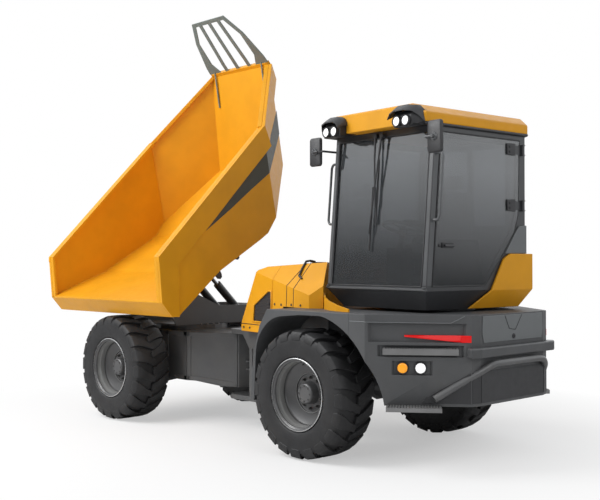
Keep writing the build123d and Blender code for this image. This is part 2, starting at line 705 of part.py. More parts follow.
def cab_body(inset, z_low, z_high):
    """Upright prism of the cab with its raked front, drawn in by an inset."""
    body = slab_plan(cab_plan(inset), z_low, z_high)
    low, high = cab_sill_z - 200, cab_top_z + 200
    rake = slab_side([(front_x(low) - inset, low), (front_x(high) - inset, high), (cab_front + 500, high),
                      (cab_front + 500, low)], -1000, 1000)
    return body - rake


def side_opening(inset):
    """Outline of the door opening, and of the fixed window across from it, drawn in by an inset."""
    low, high = cab_sill_z + sill_height + inset, cab_top_z - header_height - inset
    return [(front_x(low) - cab_post - inset, low), (-40 + inset, low), (-285 + inset, 1840 + inset),
            (-445 + inset, 2040 + inset), (-500 + inset, 2200), (-520 + inset, high),
            (front_x(high) - cab_post - inset, high)]


def rear_quarter(along_low, along_high, depth_low, depth_high, z_low, z_high):
    """Box along the cab's left slanting rear face, by the distance from its front edge and the depth inside."""
    start = Vector(cab_pillar_back, cab_half)
    run = Vector(cab_rear - cab_pillar_back, cab_rear_half - cab_half).normalized()
    inward = Vector(-run.Y, run.X)
    corners = []
    for along, depth in ((along_low, depth_low), (along_high, depth_low), (along_high, depth_high),
                         (along_low, depth_high)):
        point = start + run * along + inward * depth
        corners.append((point.X, point.Y))
    return slab_plan(corners, z_low, z_high)


window_low, window_high = cab_sill_z + sill_height, cab_top_z - header_height
rear_window_low = 2130
quarter_length = hypot(cab_rear - cab_pillar_back, cab_rear_half - cab_half)
cab_frame = cab_body(0, cab_sill_z, cab_top_z) - cab_body(cab_wall, cab_sill_z + sill_height, cab_top_z + 10)
front_half_width = cab_half - cab_post + 15
cab_frame -= block(300, 900, -front_half_width, front_half_width, window_low, window_high)
for y_low, y_high in ((cab_half - 100, cab_half + 10), (-cab_half - 10, -cab_half + 100)):
    cab_frame -= slab_side(side_opening(0), y_low, y_high)
quarter_cut = rear_quarter(50, quarter_length - 40, -60, 100, rear_window_low, window_high)
rear_half = cab_rear_half - 40
for cut in both_sides(quarter_cut):
    cab_frame -= cut
cab_frame -= block(cab_rear - 50, cab_rear + 100, -rear_half, rear_half, rear_window_low, window_high)
hinge_y = cab_half + 20
for z in hinge_heights:
    cab_frame += rod((door_hinge_x, hinge_y, z - 50), (door_hinge_x, hinge_y, z + 50), hinge_pin_radius)
    for ear_z in (z - 50, z + 40.3):
        cab_frame += block(door_hinge_x - 22, door_hinge_x + 14, cab_half - 5, hinge_y + 14, ear_z, ear_z + 9.7)
add("cab_frame", cab_at * cab_frame)

glass_in = 12
thick = cab_glass_thickness
glass_x_low, glass_x_high = front_x(window_low) - glass_in, front_x(window_high) - glass_in
windscreen = slab_side([(glass_x_low, window_low), (glass_x_high, window_high), (glass_x_high - thick, window_high),
                        (glass_x_low - thick, window_low)], -front_half_width, front_half_width)
side_window = slab_side(side_opening(0), -cab_half + glass_in, -cab_half + glass_in + thick)
rear_glass = block(cab_rear + glass_in, cab_rear + glass_in + thick, -rear_half, rear_half, rear_window_low,
                   window_high)
quarter_glass = both_sides(rear_quarter(50, quarter_length - 40, glass_in, glass_in + thick, rear_window_low,
                                        window_high))
add("cab_glass", [cab_at * piece for piece in [windscreen, side_window, rear_glass] + quarter_glass])

# Door: frame with a lower panel, and its glass
door_y = cab_half - door_wall
door = slab_side(side_opening(door_gap), door_y, cab_half)
glass_low, glass_high = 1965, window_high - 50
door_window = [(front_x(glass_low) - cab_post - 50, glass_low), (60, glass_low), (0, 1640), (-45, 1640),
               (-240, 1880), (-395, 2070), (-448, 2210), (-468, glass_high),
               (front_x(glass_high) - cab_post - 50, glass_high)]
door -= slab_side(door_window, door_y - 10, cab_half + 10)
handle = rod((520, cab_half + 28, 1915), (400, cab_half + 28, 1915), 10)
for x in (510, 410):
    handle += rod((x, cab_half - 1, 1915), (x, cab_half + 28, 1915), 8)
door += handle
for z in hinge_heights:
    leaf = block(door_hinge_x, -440, cab_half + 0.5, cab_half + 7.5, z - 40, z + 40)
    leaf += block(-495, -455, cab_half - 2, cab_half + 2, z - 40, z + 40)
    leaf += rod((door_hinge_x, hinge_y, z - 40), (door_hinge_x, hinge_y, z + 40), 15, pin_facets)
    leaf += block(door_hinge_x, door_hinge_x + 15, cab_half + 0.5, hinge_y, z - 40, z + 40)
    leaf -= bore((door_hinge_x, hinge_y, z - 60), (door_hinge_x, hinge_y, z + 60), hinge_pin_radius + 0.3)
    door += leaf
add("door", cab_at * door)
add("door_glass", cab_at * slab_side(door_window, cab_half - 18, cab_half - 18 + thick))

# Cab base, rear cowl and roof
base_low = [(x * base_draw, y * base_draw) for x, y in cab_outline]
add("cab_base", cab_at * stack([[(x, y, z) for x, y in mirrored_plan(half)]
                                for half, z in ((base_low, cab_base_z), (cab_outline, cab_sill_z - 0.3))]))


def cowl_plan(grow, scale):
    """Cowl's outline seen from above."""
    return mirrored_plan([(400 * scale, (cab_half + 2 + grow) * scale),
                          ((-650 - grow) * scale, (cab_half + 4 + grow) * scale),
                          ((-905 - grow) * scale, (225 + grow) * scale)])


def cowl_body(grow):
    """Cowl's outer or inner form: a straight band above a part that draws in towards the deck."""
    body = slab_plan(cowl_plan(grow, 1), cab_sill_z, cowl_top_z)
    return body + stack([[(x, y, z) for x, y in cowl_plan(grow, scale)]
                         for scale, z in ((cowl_draw, cab_base_z), (1, cab_sill_z))])


cowl = cowl_body(cowl_stand_off) - cowl_body(0)
cowl -= slab_side([(500, 1000), (110, cab_base_z), (-100, cab_sill_z), (-265, 1800), (-360, cowl_top_z),
                   (-360, 2100), (500, 2100)], -1000, 1000)
add("cab_cowl", cab_at * cowl)
roof = slab_plan(cab_plan(-25), cab_top_z + 0.3, cab_crown_z)
for side in (1, -1):
    roof -= slab_end([(side * 660, 3035), (side * 480, cab_crown_z + 5), (side * 900, 3300),
                      (side * 900, 3035)], -1500, 1500)
roof -= slab_side([(cab_rear - 40, 3035), (cab_rear + 180, cab_crown_z + 5), (cab_rear - 300, 3300),
                   (cab_rear - 300, 3035)], -1000, 1000)
for side in (1, -1):
    roof -= block(cab_front - 120.3, 1000, side * 457 - 110.3, side * 457 + 110.3, 2900, 3060.3)
add("cab_roof", cab_at * roof)

# Lamp pods under the roof's front corners, lamps, mirrors and rails
pods, work_lamps, mirrors, rails = [], [], [], []
for side in (1, -1):
    pod = slab_side([(cab_front - 120, 2952), (cab_front - 120, 3060), (790, 3060), (820, 3010), (820, 2920),
                     (740, 2920)], side * 457 - 110, side * 457 + 110)
    pods.append(cab_at * pod)
    for y in (405, 510):
        work_lamps.append(cab_at * rod((820.3, side * y, 2968), (846, side * y, 2968), 40, lamp_facets))
    mirror_body = block(735, 765, side * 765 - 80, side * 765 + 80, 2680, 2950)
    arm_points = [(front_x(2815) - 30, side * (cab_half + 0.3), 2815), (front_x(2815) - 30, side * 662, 2815),
                  (750, side * 662, 2815), (750, side * 690, 2815)]
    mirrors.append(cab_at * (mirror_body + pipe(arm_points, 10)))
    rail_points = [(front_x(z) - 30, side * (cab_half + out), z)
                   for z, out in ((2700, 0.3), (2700, 60), (2670, 80), (2160, 80), (2130, 60), (2130, 0.3))]
    rails.append(cab_at * pipe(rail_points, 12))
add("lamp_pods", pods)
add("work_lamps", work_lamps)
add("mirrors", mirrors)
add("grab_rails", rails)

# Seat, steering console
floor_z = cab_sill_z + sill_height
seat = block(-330, 130, -240, 240, floor_z + 0.3, 1960) + block(-360, -200, -240, 240, 1800, 2560)
add("seat", cab_at * seat)
console = block(330, 470, -90, 90, floor_z, 1900) + rod((400, 0, 1890), (340, 0, 2080), 28)
wheel_plane = Plane(origin=(340, 0, 2080), x_dir=(0, 1, 0), z_dir=(-60, 0, 190))
console += wheel_plane * extrude(RegularPolygon(205, 16) - RegularPolygon(177, 16), amount=12, both=True)
console += wheel_plane * extrude(RegularPolygon(45, 12), amount=15, both=True)
for turn in (30, 150, 270):
    spoke = Box(155, 24, 12, align=(Align.MIN, Align.CENTER, Align.CENTER))
    console += wheel_plane * Rotation(0, 0, turn) * spoke.moved(Location((30, 0, 0)))
add("steering_console", cab_at * console)

# Row frame: origin on the floor under the middle of the machine
everything = Compound([solid for solids in nodes.values() for solid in solids]).bounding_box()
shift = Location((-(everything.min.X + everything.max.X) / 2, -(everything.min.Y + everything.max.Y) / 2,
                  -everything.min.Z))
os.makedirs("parts", exist_ok=True)
for name, solids in nodes.items():
    export_step(Compound([shift * solid for solid in solids]), "parts/" + name + ".step")
print("moved by", shift.position)
print("box", everything.min, everything.max)
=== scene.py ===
from math import cos, pi, radians, sin

import bmesh
import bpy
from mathutils import Matrix, Vector


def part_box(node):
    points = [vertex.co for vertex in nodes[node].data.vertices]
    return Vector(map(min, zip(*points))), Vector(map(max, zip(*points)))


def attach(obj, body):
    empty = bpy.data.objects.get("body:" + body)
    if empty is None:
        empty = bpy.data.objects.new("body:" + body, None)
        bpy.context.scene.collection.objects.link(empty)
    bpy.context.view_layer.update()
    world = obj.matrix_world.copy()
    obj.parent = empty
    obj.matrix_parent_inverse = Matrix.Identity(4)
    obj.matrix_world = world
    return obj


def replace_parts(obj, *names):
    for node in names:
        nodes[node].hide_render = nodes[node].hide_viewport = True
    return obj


# Looks of the rotating dumper. Lengths are in metres, angles in radians and smooth in degrees.
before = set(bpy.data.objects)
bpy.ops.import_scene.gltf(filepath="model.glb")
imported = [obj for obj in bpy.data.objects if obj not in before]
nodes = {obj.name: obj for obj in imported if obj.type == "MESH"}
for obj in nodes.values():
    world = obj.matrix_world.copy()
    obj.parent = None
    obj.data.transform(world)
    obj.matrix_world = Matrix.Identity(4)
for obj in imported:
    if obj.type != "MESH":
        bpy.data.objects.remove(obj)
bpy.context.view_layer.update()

# Places, worked out from the frame: machine frame with X forward, Y left and the rear axle at X 0
rear_low, rear_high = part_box("rim_rear_left")
right_low, right_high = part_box("rim_rear_right")
front_low, front_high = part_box("rim_front_left")
axle_x = (rear_low.x + rear_high.x) / 2
middle_y = (rear_high.y + right_low.y) / 2
wheel_z = (rear_low.z + rear_high.z) / 2
wheelbase = (front_low.x + front_high.x) / 2 - axle_x
wheel_y = (rear_low.y + rear_high.y) / 2 - middle_y
ring_low, ring_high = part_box("slew_ring")
cab_axis_x = (ring_low.x + ring_high.x) / 2 - axle_x
cab_turn = radians(85)
swivel_turn = pi / 2
tip_turn = radians(45.5)
tip_pin_f = 0.62
tip_pin_z = 1.45

machine = Matrix.Translation((axle_x, middle_y, 0))
cab = machine @ Matrix.Translation((cab_axis_x, 0, 0)) @ Matrix.Rotation(cab_turn, 4, "Z")
carrier = machine @ Matrix.Translation((wheelbase, 0, 0)) @ Matrix.Rotation(swivel_turn, 4, "Z")
skip = (carrier @ Matrix.Translation((tip_pin_f, 0, tip_pin_z)) @ Matrix.Rotation(tip_turn, 4, "Y")
    @ Matrix.Translation((-tip_pin_f, 0, -tip_pin_z)))

scene = bpy.context.scene


def placed(name, data):
    """Object for some data, linked to the scene."""
    made = bpy.data.objects.new(name, data)
    scene.collection.objects.link(made)
    return made


# Materials
dust_color = (0.23, 0.21, 0.18)


def ramp(tree, source, low, high, low_value, high_value):
    """A value carried over from one range to another."""
    node = tree.nodes.new("ShaderNodeMapRange")
    for name, value in (("From Min", low), ("From Max", high), ("To Min", low_value),
            ("To Max", high_value)):
        node.inputs[name].default_value = value
    tree.links.new(source, node.inputs["Value"])
    return node.outputs["Result"]


def product(tree, first, second):
    """Product of two values."""
    node = tree.nodes.new("ShaderNodeMath")
    node.operation = "MULTIPLY"
    tree.links.new(first, node.inputs[0])
    tree.links.new(second, node.inputs[1])
    return node.outputs["Value"]


def material(name, color, roughness, metallic=0.0, vary=0.12, vary_scale=3.0, bump=0.1, bump_scale=300.0,
        coat=0.0, dust=0.0, spread=0.06, specular=0.5):
    """Surface whose colour, roughness and fine relief come from noise, with dust low down."""
    made = bpy.data.materials.new(name)
    made.use_nodes = True
    tree = made.node_tree
    shader = tree.nodes["Principled BSDF"]
    for socket, value in (("Metallic", metallic), ("Coat Weight", coat), ("Coat Roughness", 0.12),
            ("Specular IOR Level", specular)):
        shader.inputs[socket].default_value = value
    place = tree.nodes.new("ShaderNodeTexCoord")

    def noise_node(scale, detail):
        node = tree.nodes.new("ShaderNodeTexNoise")
        node.inputs["Scale"].default_value = scale
        node.inputs["Detail"].default_value = detail
        tree.links.new(place.outputs["Object"], node.inputs["Vector"])
        return node

    def mixed(factor, first, second):
        node = tree.nodes.new("ShaderNodeMix")
        node.data_type = "RGBA"
        tree.links.new(factor, node.inputs["Factor"])
        for socket, value in ((node.inputs["A"], first), (node.inputs["B"], second)):
            if isinstance(value, tuple):
                socket.default_value = value + (1,)
            else:
                tree.links.new(value, socket)
        return node.outputs["Result"]

    broad = noise_node(vary_scale, 6)
    darker = tuple(c * (1 - vary) for c in color)
    lighter = tuple(min(1.0, c * (1 + vary)) for c in color)
    result = mixed(ramp(tree, broad.outputs["Fac"], 0.35, 0.65, 0, 1), darker, lighter)
    if dust:
        split = tree.nodes.new("ShaderNodeSeparateXYZ")
        tree.links.new(place.outputs["Object"], split.inputs["Vector"])
        low_down = ramp(tree, split.outputs["Z"], 0.1, 1.2, dust, 0)
        patchy = ramp(tree, noise_node(5, 8).outputs["Fac"], 0.4, 0.7, 0, 1)
        result = mixed(product(tree, low_down, patchy), result, dust_color)
    tree.links.new(result, shader.inputs["Base Color"])
    middle = noise_node(vary_scale * 6, 5)
    uneven = ramp(tree, middle.outputs["Fac"], 0.3, 0.7, max(0.015, roughness - spread), roughness + spread)
    tree.links.new(uneven, shader.inputs["Roughness"])
    if bump:
        relief = tree.nodes.new("ShaderNodeBump")
        relief.inputs["Strength"].default_value = bump
        relief.inputs["Distance"].default_value = 0.001
        tree.links.new(noise_node(bump_scale, 3).outputs["Fac"], relief.inputs["Height"])
        tree.links.new(relief.outputs["Normal"], shader.inputs["Normal"])
    return made


def clear(name, color, roughness, transmission, emission=0.0, ior=1.45):
    """Glass or a lens, with a faint film of dust in its roughness."""
    made = material(name, color, roughness, vary=0.03, bump=0.0, spread=0.01)
    shader = made.node_tree.nodes["Principled BSDF"]
    shader.inputs["Transmission Weight"].default_value = transmission
    shader.inputs["IOR"].default_value = ior
    if emission:
        shader.inputs["Emission Color"].default_value = color + (1,)
        shader.inputs["Emission Strength"].default_value = emission
    return made


yellow = material("yellow_paint", (0.72, 0.325, 0.010), 0.46, vary=0.05, bump=0.05, bump_scale=160,
    coat=0.05, dust=0.05, specular=0.25)
chassis = material("chassis_grey", (0.052, 0.054, 0.057), 0.42, vary=0.10, bump=0.12, dust=0.15, coat=0.1)
cover_grey = material("cover_grey", (0.066, 0.068, 0.071), 0.55, vary=0.06, bump=0.35, bump_scale=450,
    dust=0.15)
guard_grey = material("guard_grey", (0.145, 0.175, 0.165), 0.42, vary=0.08, bump=0.1, coat=0.1)
rubber = material("tyre_rubber", (0.017, 0.017, 0.018), 0.55, vary=0.2, vary_scale=8, bump=0.4,
    bump_scale=220, dust=0.04, specular=0.35)
rim_grey = material("rim_paint", (0.095, 0.095, 0.097), 0.34, metallic=0.25, vary=0.12, bump=0.1, dust=0.12)
# Lighter copy of the rim paint: a painted highlight for the thin rings on the rim's well step and disc edge
painted_rim_highlight = material("painted_rim_highlight", (0.24, 0.24, 0.235), 0.40, metallic=0.2, vary=0.06, bump=0.0)
# Bright steel for the turntable bolts and pin ends; on the rim lips the same material is a painted highlight
bright_steel_and_highlight = material("bright_steel_and_lip_highlight", (0.50, 0.50, 0.50), 0.28, metallic=0.9, vary=0.1, bump=0.08)
chrome = material("rod_chrome", (0.72, 0.72, 0.74), 0.08, metallic=1.0, vary=0.02, bump=0.0)
cab_dark = material("cab_dark", (0.030, 0.031, 0.034), 0.38, vary=0.08, bump=0.1, coat=0.15)
pillar_grey = material("pillar_grey", (0.070, 0.073, 0.077), 0.35, vary=0.06, bump=0.05, coat=0.2)
black_plastic = material("black_plastic", (0.020, 0.020, 0.022), 0.5, vary=0.1, bump=0.3, bump_scale=500)
seat_cloth = material("seat_cloth", (0.035, 0.036, 0.040), 0.9, vary=0.2, vary_scale=30, bump=0.8,
    bump_scale=900)
grating = material("step_grating", (0.20, 0.20, 0.20), 0.45, metallic=0.5, vary=0.15, bump=0.2, dust=0.2)
stripe_grey = material("stripe_grey", (0.082, 0.080, 0.066), 0.50, vary=0.05, bump=0.05, specular=0.15)
frame_grey = material("frame_grey", (0.085, 0.086, 0.088), 0.38, vary=0.10, bump=0.12, dust=0.20, coat=0.15)
hub_grey = material("hub_grey", (0.050, 0.048, 0.046), 0.45, vary=0.15, bump=0.15, dust=0.1)
panel_grey = material("panel_grey", (0.125, 0.134, 0.138), 0.38, vary=0.04, bump=0.0, coat=0.1)
glass = clear("tinted_glass", (0.30, 0.315, 0.33), 0.02, 0.9, ior=1.9)
door_glass_look = clear("door_glass", (0.36, 0.37, 0.385), 0.02, 0.92, ior=1.75)
red_lens = clear("red_lens", (0.72, 0.008, 0.008), 0.12, 0.0, 0.15)
amber_lens = clear("amber_lens", (0.95, 0.36, 0.02), 0.12, 0.0, 0.35)
white_lens = clear("white_lens", (0.92, 0.92, 0.92), 0.1, 0.0, 0.55)
mirror_glass = material("mirror_glass", (0.8, 0.82, 0.84), 0.03, metallic=1.0, vary=0.01, bump=0.0)

node_looks = {
    yellow: ["skip", "hood_front", "hood_rear", "cab_roof", "cab_cowl"],
    chassis: ["rear_axle", "front_axle", "deck", "slew_ring", "engine_block", "bumper_bar", "tube_guard"],
    frame_grey: ["rear_frame", "front_frame", "turntable"],
    cover_grey: ["rear_cover", "rear_fenders"],
    guard_grey: ["rock_guard"],
    rubber: ["tyre_rear_left", "tyre_rear_right", "tyre_front_left", "tyre_front_right"],
    rim_grey: ["rim_rear_left", "rim_rear_right", "rim_front_left", "rim_front_right"],
    cab_dark: ["cab_base", "cab_frame", "door", "grab_rails", "tip_barrels", "steer_barrels"],
    black_plastic: ["hood_grilles", "lamp_pods", "mirrors", "steering_console"],
    chrome: ["tip_rods", "steer_rod_left", "steer_rod_right"],
    glass: ["cab_glass", "door_glass"],
    seat_cloth: ["seat"],
    grating: ["rear_steps"],
    red_lens: ["tail_strips"],
    amber_lens: ["turn_lamps"],
    white_lens: ["marker_lamps", "work_lamps"],
}
for look, names in node_looks.items():
    for name in names:
        mesh = nodes[name].data
        mesh.materials.clear()
        mesh.materials.append(look)

# Rounded edges, in metres, on the solids that stay as they are
edge_rounding = {"skip": 0.004, "rock_guard": 0.002, "hood_front": 0.010, "hood_rear": 0.010,
    "cab_roof": 0.016, "cab_cowl": 0.008, "rear_cover": 0.004, "rear_fenders": 0.005, "bumper_bar": 0.014,
    "lamp_pods": 0.014, "rear_frame": 0.002, "front_frame": 0.003, "turntable": 0.002, "cab_frame": 0.003,
    "cab_base": 0.006, "rear_steps": 0.002, "tail_strips": 0.003, "deck": 0.003}
for name, width in edge_rounding.items():
    joined = nodes[name].modifiers.new("joined", "WELD")
    joined.merge_threshold = 0.00002
    rounding = nodes[name].modifiers.new("rounding", "BEVEL")
    rounding.width = width
    rounding.segments = 3
    rounding.limit_method = "ANGLE"
    rounding.angle_limit = radians(25)


# Mesh building
class Shape:
    """Mesh made up from simple parts in a place of its own."""

    def __init__(self, place=Matrix.Identity(4)):
        self.mesh = bmesh.new()
        self.place = place

    def ring(self, points):
        """Vertices at some points."""
        return [self.mesh.verts.new(Vector(p)) for p in points]

    def skin(self, rings, closed=True, caps=True):
        """Surface through rings of vertices, with its ends filled."""
        count = len(rings[0])
        for low, high in zip(rings, rings[1:]):
            for i in range(count if closed else count - 1):
                j = (i + 1) % count
                self.mesh.faces.new((low[i], low[j], high[j], high[i]))
        if caps:
            self.mesh.faces.new(list(reversed(rings[0])))
            self.mesh.faces.new(rings[-1])

    def prism(self, corners, along):
        """Prism from a flat outline and the vector that it is pulled along."""
        along = Vector(along)
        self.skin([self.ring(corners), self.ring([Vector(p) + along for p in corners])])

    def plate(self, outline, y, thick):
        """Upright plate from an outline (x, z) at a place across and a thickness."""
        self.prism([(x, y, z) for x, z in outline], (0, thick, 0))

    def box(self, low, high):
        """Box between two corners."""
        (x0, y0, z0), (x1, y1, z1) = low, high
        self.prism([(x0, y0, z0), (x1, y0, z0), (x1, y1, z0), (x0, y1, z0)], (0, 0, z1 - z0))

    def tube(self, points, radius, sides=12):
        """Round tube along points, mitred at its corners."""
        points = [Vector(p) for p in points]
        radii = radius if isinstance(radius, (list, tuple)) else [radius] * len(points)
        across = None
        rings = []
        for i, point in enumerate(points):
            before = (point - points[i - 1]).normalized() if i else (points[1] - point).normalized()
            after = (points[i + 1] - point).normalized() if i + 1 < len(points) else before
            along = (before + after).normalized()
            if across is None:
                across = along.orthogonal().normalized()
            across = (across - along * across.dot(along)).normalized()
            other = along.cross(across)
            stretch = 1 / max(0.5, along.dot(after))
            rings.append(self.ring([point + (across * cos(2 * pi * k / sides)
                + other * sin(2 * pi * k / sides)) * radii[i] * (stretch if 0 < i < len(points) - 1 else 1)
                for k in range(sides)]))
        self.skin(rings)

    def turned(self, section, centre, axis, steps=48, closed=True):
        """Surface of revolution from (radius, along) points, about an axis through a point."""
        axis = Vector(axis).normalized()
        across = axis.orthogonal().normalized()
        other = axis.cross(across)
        centre = Vector(centre)
        rings = []
        for k in range(steps):
            out = across * cos(2 * pi * k / steps) + other * sin(2 * pi * k / steps)
            rings.append(self.ring([centre + out * r + axis * w for r, w in section]))
        rings.append(rings[0])
        self.skin(rings, closed=closed, caps=False)

    def bolt(self, centre, axis, radius=0.012, height=0.008):
        """Hexagon bolt head on a washer."""
        axis = Vector(axis).normalized()
        centre = Vector(centre)
        self.tube([centre, centre + axis * height * 0.25], radius * 1.25, 16)
        self.tube([centre + axis * height * 0.25, centre + axis * height], radius, 6)

    def done(self, name, look, body, bevel=0.0, segments=2, smooth=35, slot=None):
        """Finish the mesh as a named piece that rides on a body."""
        bmesh.ops.recalc_face_normals(self.mesh, faces=self.mesh.faces)
        data = bpy.data.meshes.new(name)
        self.mesh.transform(self.place)
        self.mesh.to_mesh(data)
        self.mesh.free()
        made = placed(name, data)
        data.materials.append(look)
        for face in data.polygons:
            face.use_smooth = True
        data.set_sharp_from_angle(angle=radians(smooth))
        if bevel:
            rounding = made.modifiers.new("rounding", "BEVEL")
            rounding.width = bevel
            rounding.segments = segments
            rounding.angle_limit = radians(30)
            rounding.harden_normals = True
        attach(made, body)
        return made


def circle(count, radius, start=0):
    """Points of an even circle, turned by a part of a step."""
    angles = [2 * pi * (k + start) / count for k in range(count)]
    return [(radius * cos(angle), radius * sin(angle)) for angle in angles]


def mirrored(half):
    """Path that goes on over the middle to the other side."""
    return half + [(x, -y, z) for x, y, z in reversed(half)]


# Tyres with staggered lugs
tyre_radius = 0.585
lug_count = 20
# A lug from the middle of the tread outwards: across, top radius, root across, root radius, lead, half width
lug_stations = [
    (-0.015, 0.5848, -0.015, 0.540, -0.010, 0.034),
    (0.060, 0.5848, 0.060, 0.540, 0.022, 0.038),
    (0.120, 0.584, 0.120, 0.540, 0.052, 0.048),
    (0.168, 0.580, 0.165, 0.535, 0.074, 0.061),
    (0.205, 0.566, 0.185, 0.520, 0.086, 0.067),
    (0.2225, 0.538, 0.200, 0.500, 0.090, 0.067),
    (0.2245, 0.492, 0.205, 0.470, 0.088, 0.058),
]
carcass = [(0.302, 0.195), (0.334, 0.196), (0.345, 0.212), (0.375, 0.222), (0.42, 0.224), (0.47, 0.2235),
    (0.515, 0.2175), (0.543, 0.203), (0.555, 0.170), (0.557, 0.08)]


origin, sideways = (0, 0, 0), (0, 1, 0)
root_widening = 1.12


def wheel_place(x, side):
    """Place of a wheel with its Y pointing outwards."""
    turn = 0 if side > 0 else pi
    return machine @ Matrix.Translation((x, side * wheel_y, wheel_z)) @ Matrix.Rotation(turn, 4, "Z")


def tyre(name, body, x, side):
    """One tyre: carcass and lugs."""
    shape = Shape(wheel_place(x, side))
    half = carcass + [(0.557, 0.0)]
    section = half + [(r, -w) for r, w in reversed(half[:-1])]
    shape.turned(section, origin, sideways, 120, closed=False)
    lead = -side
    for flank in (1, -1):
        for k in range(lug_count):
            start = 2 * pi * (k + (0.5 if flank > 0 else 0)) / lug_count
            rings = []
            for across, top, root_across, root, shift, half_width in lug_stations:
                middle = start + lead * shift / tyre_radius
                spread = half_width / tyre_radius
                corners = []
                for angle, r, w in ((middle - spread * root_widening, root, root_across),
                        (middle - spread, top, across), (middle + spread, top, across),
                        (middle + spread * root_widening, root, root_across)):
                    corners.append((r * cos(angle), flank * w, r * sin(angle)))
                rings.append(shape.ring(corners))
            shape.skin(rings)
    made = shape.done(name, rubber, body, bevel=0.004, segments=2, smooth=40, slot="tyre_rubber")
    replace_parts(made, name.replace("dressed_", ""))


wheels = [("rear_left", 0, 1), ("rear_right", 0, -1), ("front_left", wheelbase, 1),
    ("front_right", wheelbase, -1)]
for name, x, side in wheels:
    tyre("dressed_tyre_" + name, "wheel_" + name, x, side)

# Rims: flanges, well and dished disc turned round, with hub, nuts and valve
rim_section = [(0.302, -0.195), (0.302, 0.195), (0.3255, 0.196), (0.328, 0.2015), (0.3265, 0.2085),
    (0.321, 0.211), (0.3155, 0.2085), (0.3125, 0.201), (0.2985, 0.190), (0.296, 0.180), (0.2955, 0.150),
    (0.2905, 0.142), (0.2885, 0.130), (0.288, 0.076), (0.282, 0.0655), (0.270, 0.0595), (0.196, 0.030),
    (0.186, 0.030), (0.183, 0.034), (0.177, 0.034), (0.174, 0.022), (0.170, 0.020), (0.1055, 0.020),
    (0.103, 0.023), (0.096, 0.092), (0.093, 0.099), (0.085, 0.108), (0.080, 0.110), (0.060, 0.110),
    (0.058, 0.1075), (0.0006, 0.1075), (0.0006, 0.0603), (0.0553, 0.0603), (0.0553, -0.190),
    (0.122, -0.190), (0.125, -0.187), (0.125, -0.030), (0.170, -0.030), (0.170, 0.0), (0.286, 0.043),
    (0.288, 0.040), (0.288, -0.200), (0.316, -0.2095), (0.3265, -0.2085), (0.328, -0.2015),
    (0.3255, -0.196)]
nut_count, nut_circle = 10, 0.140
cap_bolt_count, cap_bolt_circle = 8, 0.070
for name, wheel_x, side in wheels:
    place = wheel_place(wheel_x, side)
    wheel = "wheel_" + name
    dish = Shape(place)
    dish.turned(rim_section, origin, sideways, 96)
    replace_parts(dish.done("turned_rim_" + name, rim_grey, wheel, smooth=28, slot="rim_paint"),
        "rim_" + name)
    nuts = Shape(place)
    for x, z in circle(nut_count, nut_circle, 0.5):
        stud = Vector((x, 0, z))
        nuts.bolt(stud + Vector((0, 0.0195, 0)), sideways, 0.0125, 0.022)
        nuts.tube([stud + Vector((0, 0.040, 0)), stud + Vector((0, 0.052, 0))], 0.008, 10)
    for x, z in circle(cap_bolt_count, cap_bolt_circle):
        nuts.bolt((x, 0.1095, z), sideways, 0.007, 0.006)
    nuts.done("wheel_nuts_" + name, hub_grey, wheel)
    # Painted highlight: a thin bright steel skin over each flange's outer curl stands in for light caught by
    # the painted lip
    edge = Shape(place)
    edge.turned([(0.3215, 0.2108), (0.3265, 0.2088), (0.3285, 0.202), (0.329, 0.202), (0.3278, 0.2098),
        (0.3215, 0.2122)], origin, sideways, 96)
    edge.done("rim_lip_highlight_" + name, bright_steel_and_highlight, wheel, smooth=60)
    # Painted highlight: thin rings in the lighter rim paint over the well step and the disc's edge, where
    # light catches the rim
    band = Shape(place)
    band.turned([(0.2957, 0.178), (0.2952, 0.152), (0.2902, 0.144), (0.2882, 0.131), (0.2877, 0.090),
        (0.2867, 0.090), (0.2872, 0.1315), (0.2892, 0.143), (0.2942, 0.1512), (0.2947, 0.178)], origin,
        sideways, 96)
    band.turned([(0.1826, 0.0338), (0.1774, 0.0338), (0.1774, 0.0352), (0.1826, 0.0352)], origin, sideways,
        72)
    band.done("rim_highlight_band_" + name, painted_rim_highlight, wheel, smooth=60, slot="rim_paint")
    valve = Shape(place)
    valve.tube([(0.0, 0.060, 0.280), (0.0, 0.10, 0.271), (0.0, 0.115, 0.266)], 0.006, 8)
    valve.tube([(0.0, 0.112, 0.267), (0.0, 0.128, 0.262)], 0.008, 10)
    valve.done("valve_" + name, black_plastic, wheel)

# Skip: painted stripe across each side panel and on over the slanting rear panel
skip_half = 1.095
bend_low = Vector((-0.680, skip_half, 1.320))
bend_high = Vector((-1.270, skip_half, 2.200))
rear_top = Vector((-2.310, 0.560, 2.390))
panel_out = (bend_high - bend_low).cross(rear_top - bend_low).normalized()
if panel_out.y < 0:
    panel_out = -panel_out
side_stripe = [(0.176, 1.931), (-0.716, 1.944), (-1.099, 1.945), (-0.968, 1.750), (-0.614, 1.807),
    (-0.264, 1.855)]
panel_stripe = [(-1.099, 1.095, 1.945), (-1.990, 0.560, 1.912), (-1.806, 0.582, 1.694),
    (-0.968, 1.095, 1.750)]
paint_depth = 0.0012
skip_sides = [("left", skip), ("right", skip @ Matrix.Scale(-1, 4, (0, 1, 0)))]
for label, place in skip_sides:
    paint = Shape(place)
    paint.plate(side_stripe, skip_half - paint_depth, 2 * paint_depth)
    paint.prism([Vector(p) - panel_out * paint_depth for p in panel_stripe], panel_out * 2 * paint_depth)
    paint.done("skip_stripe_" + label, stripe_grey, "skip", slot="chassis_grey")

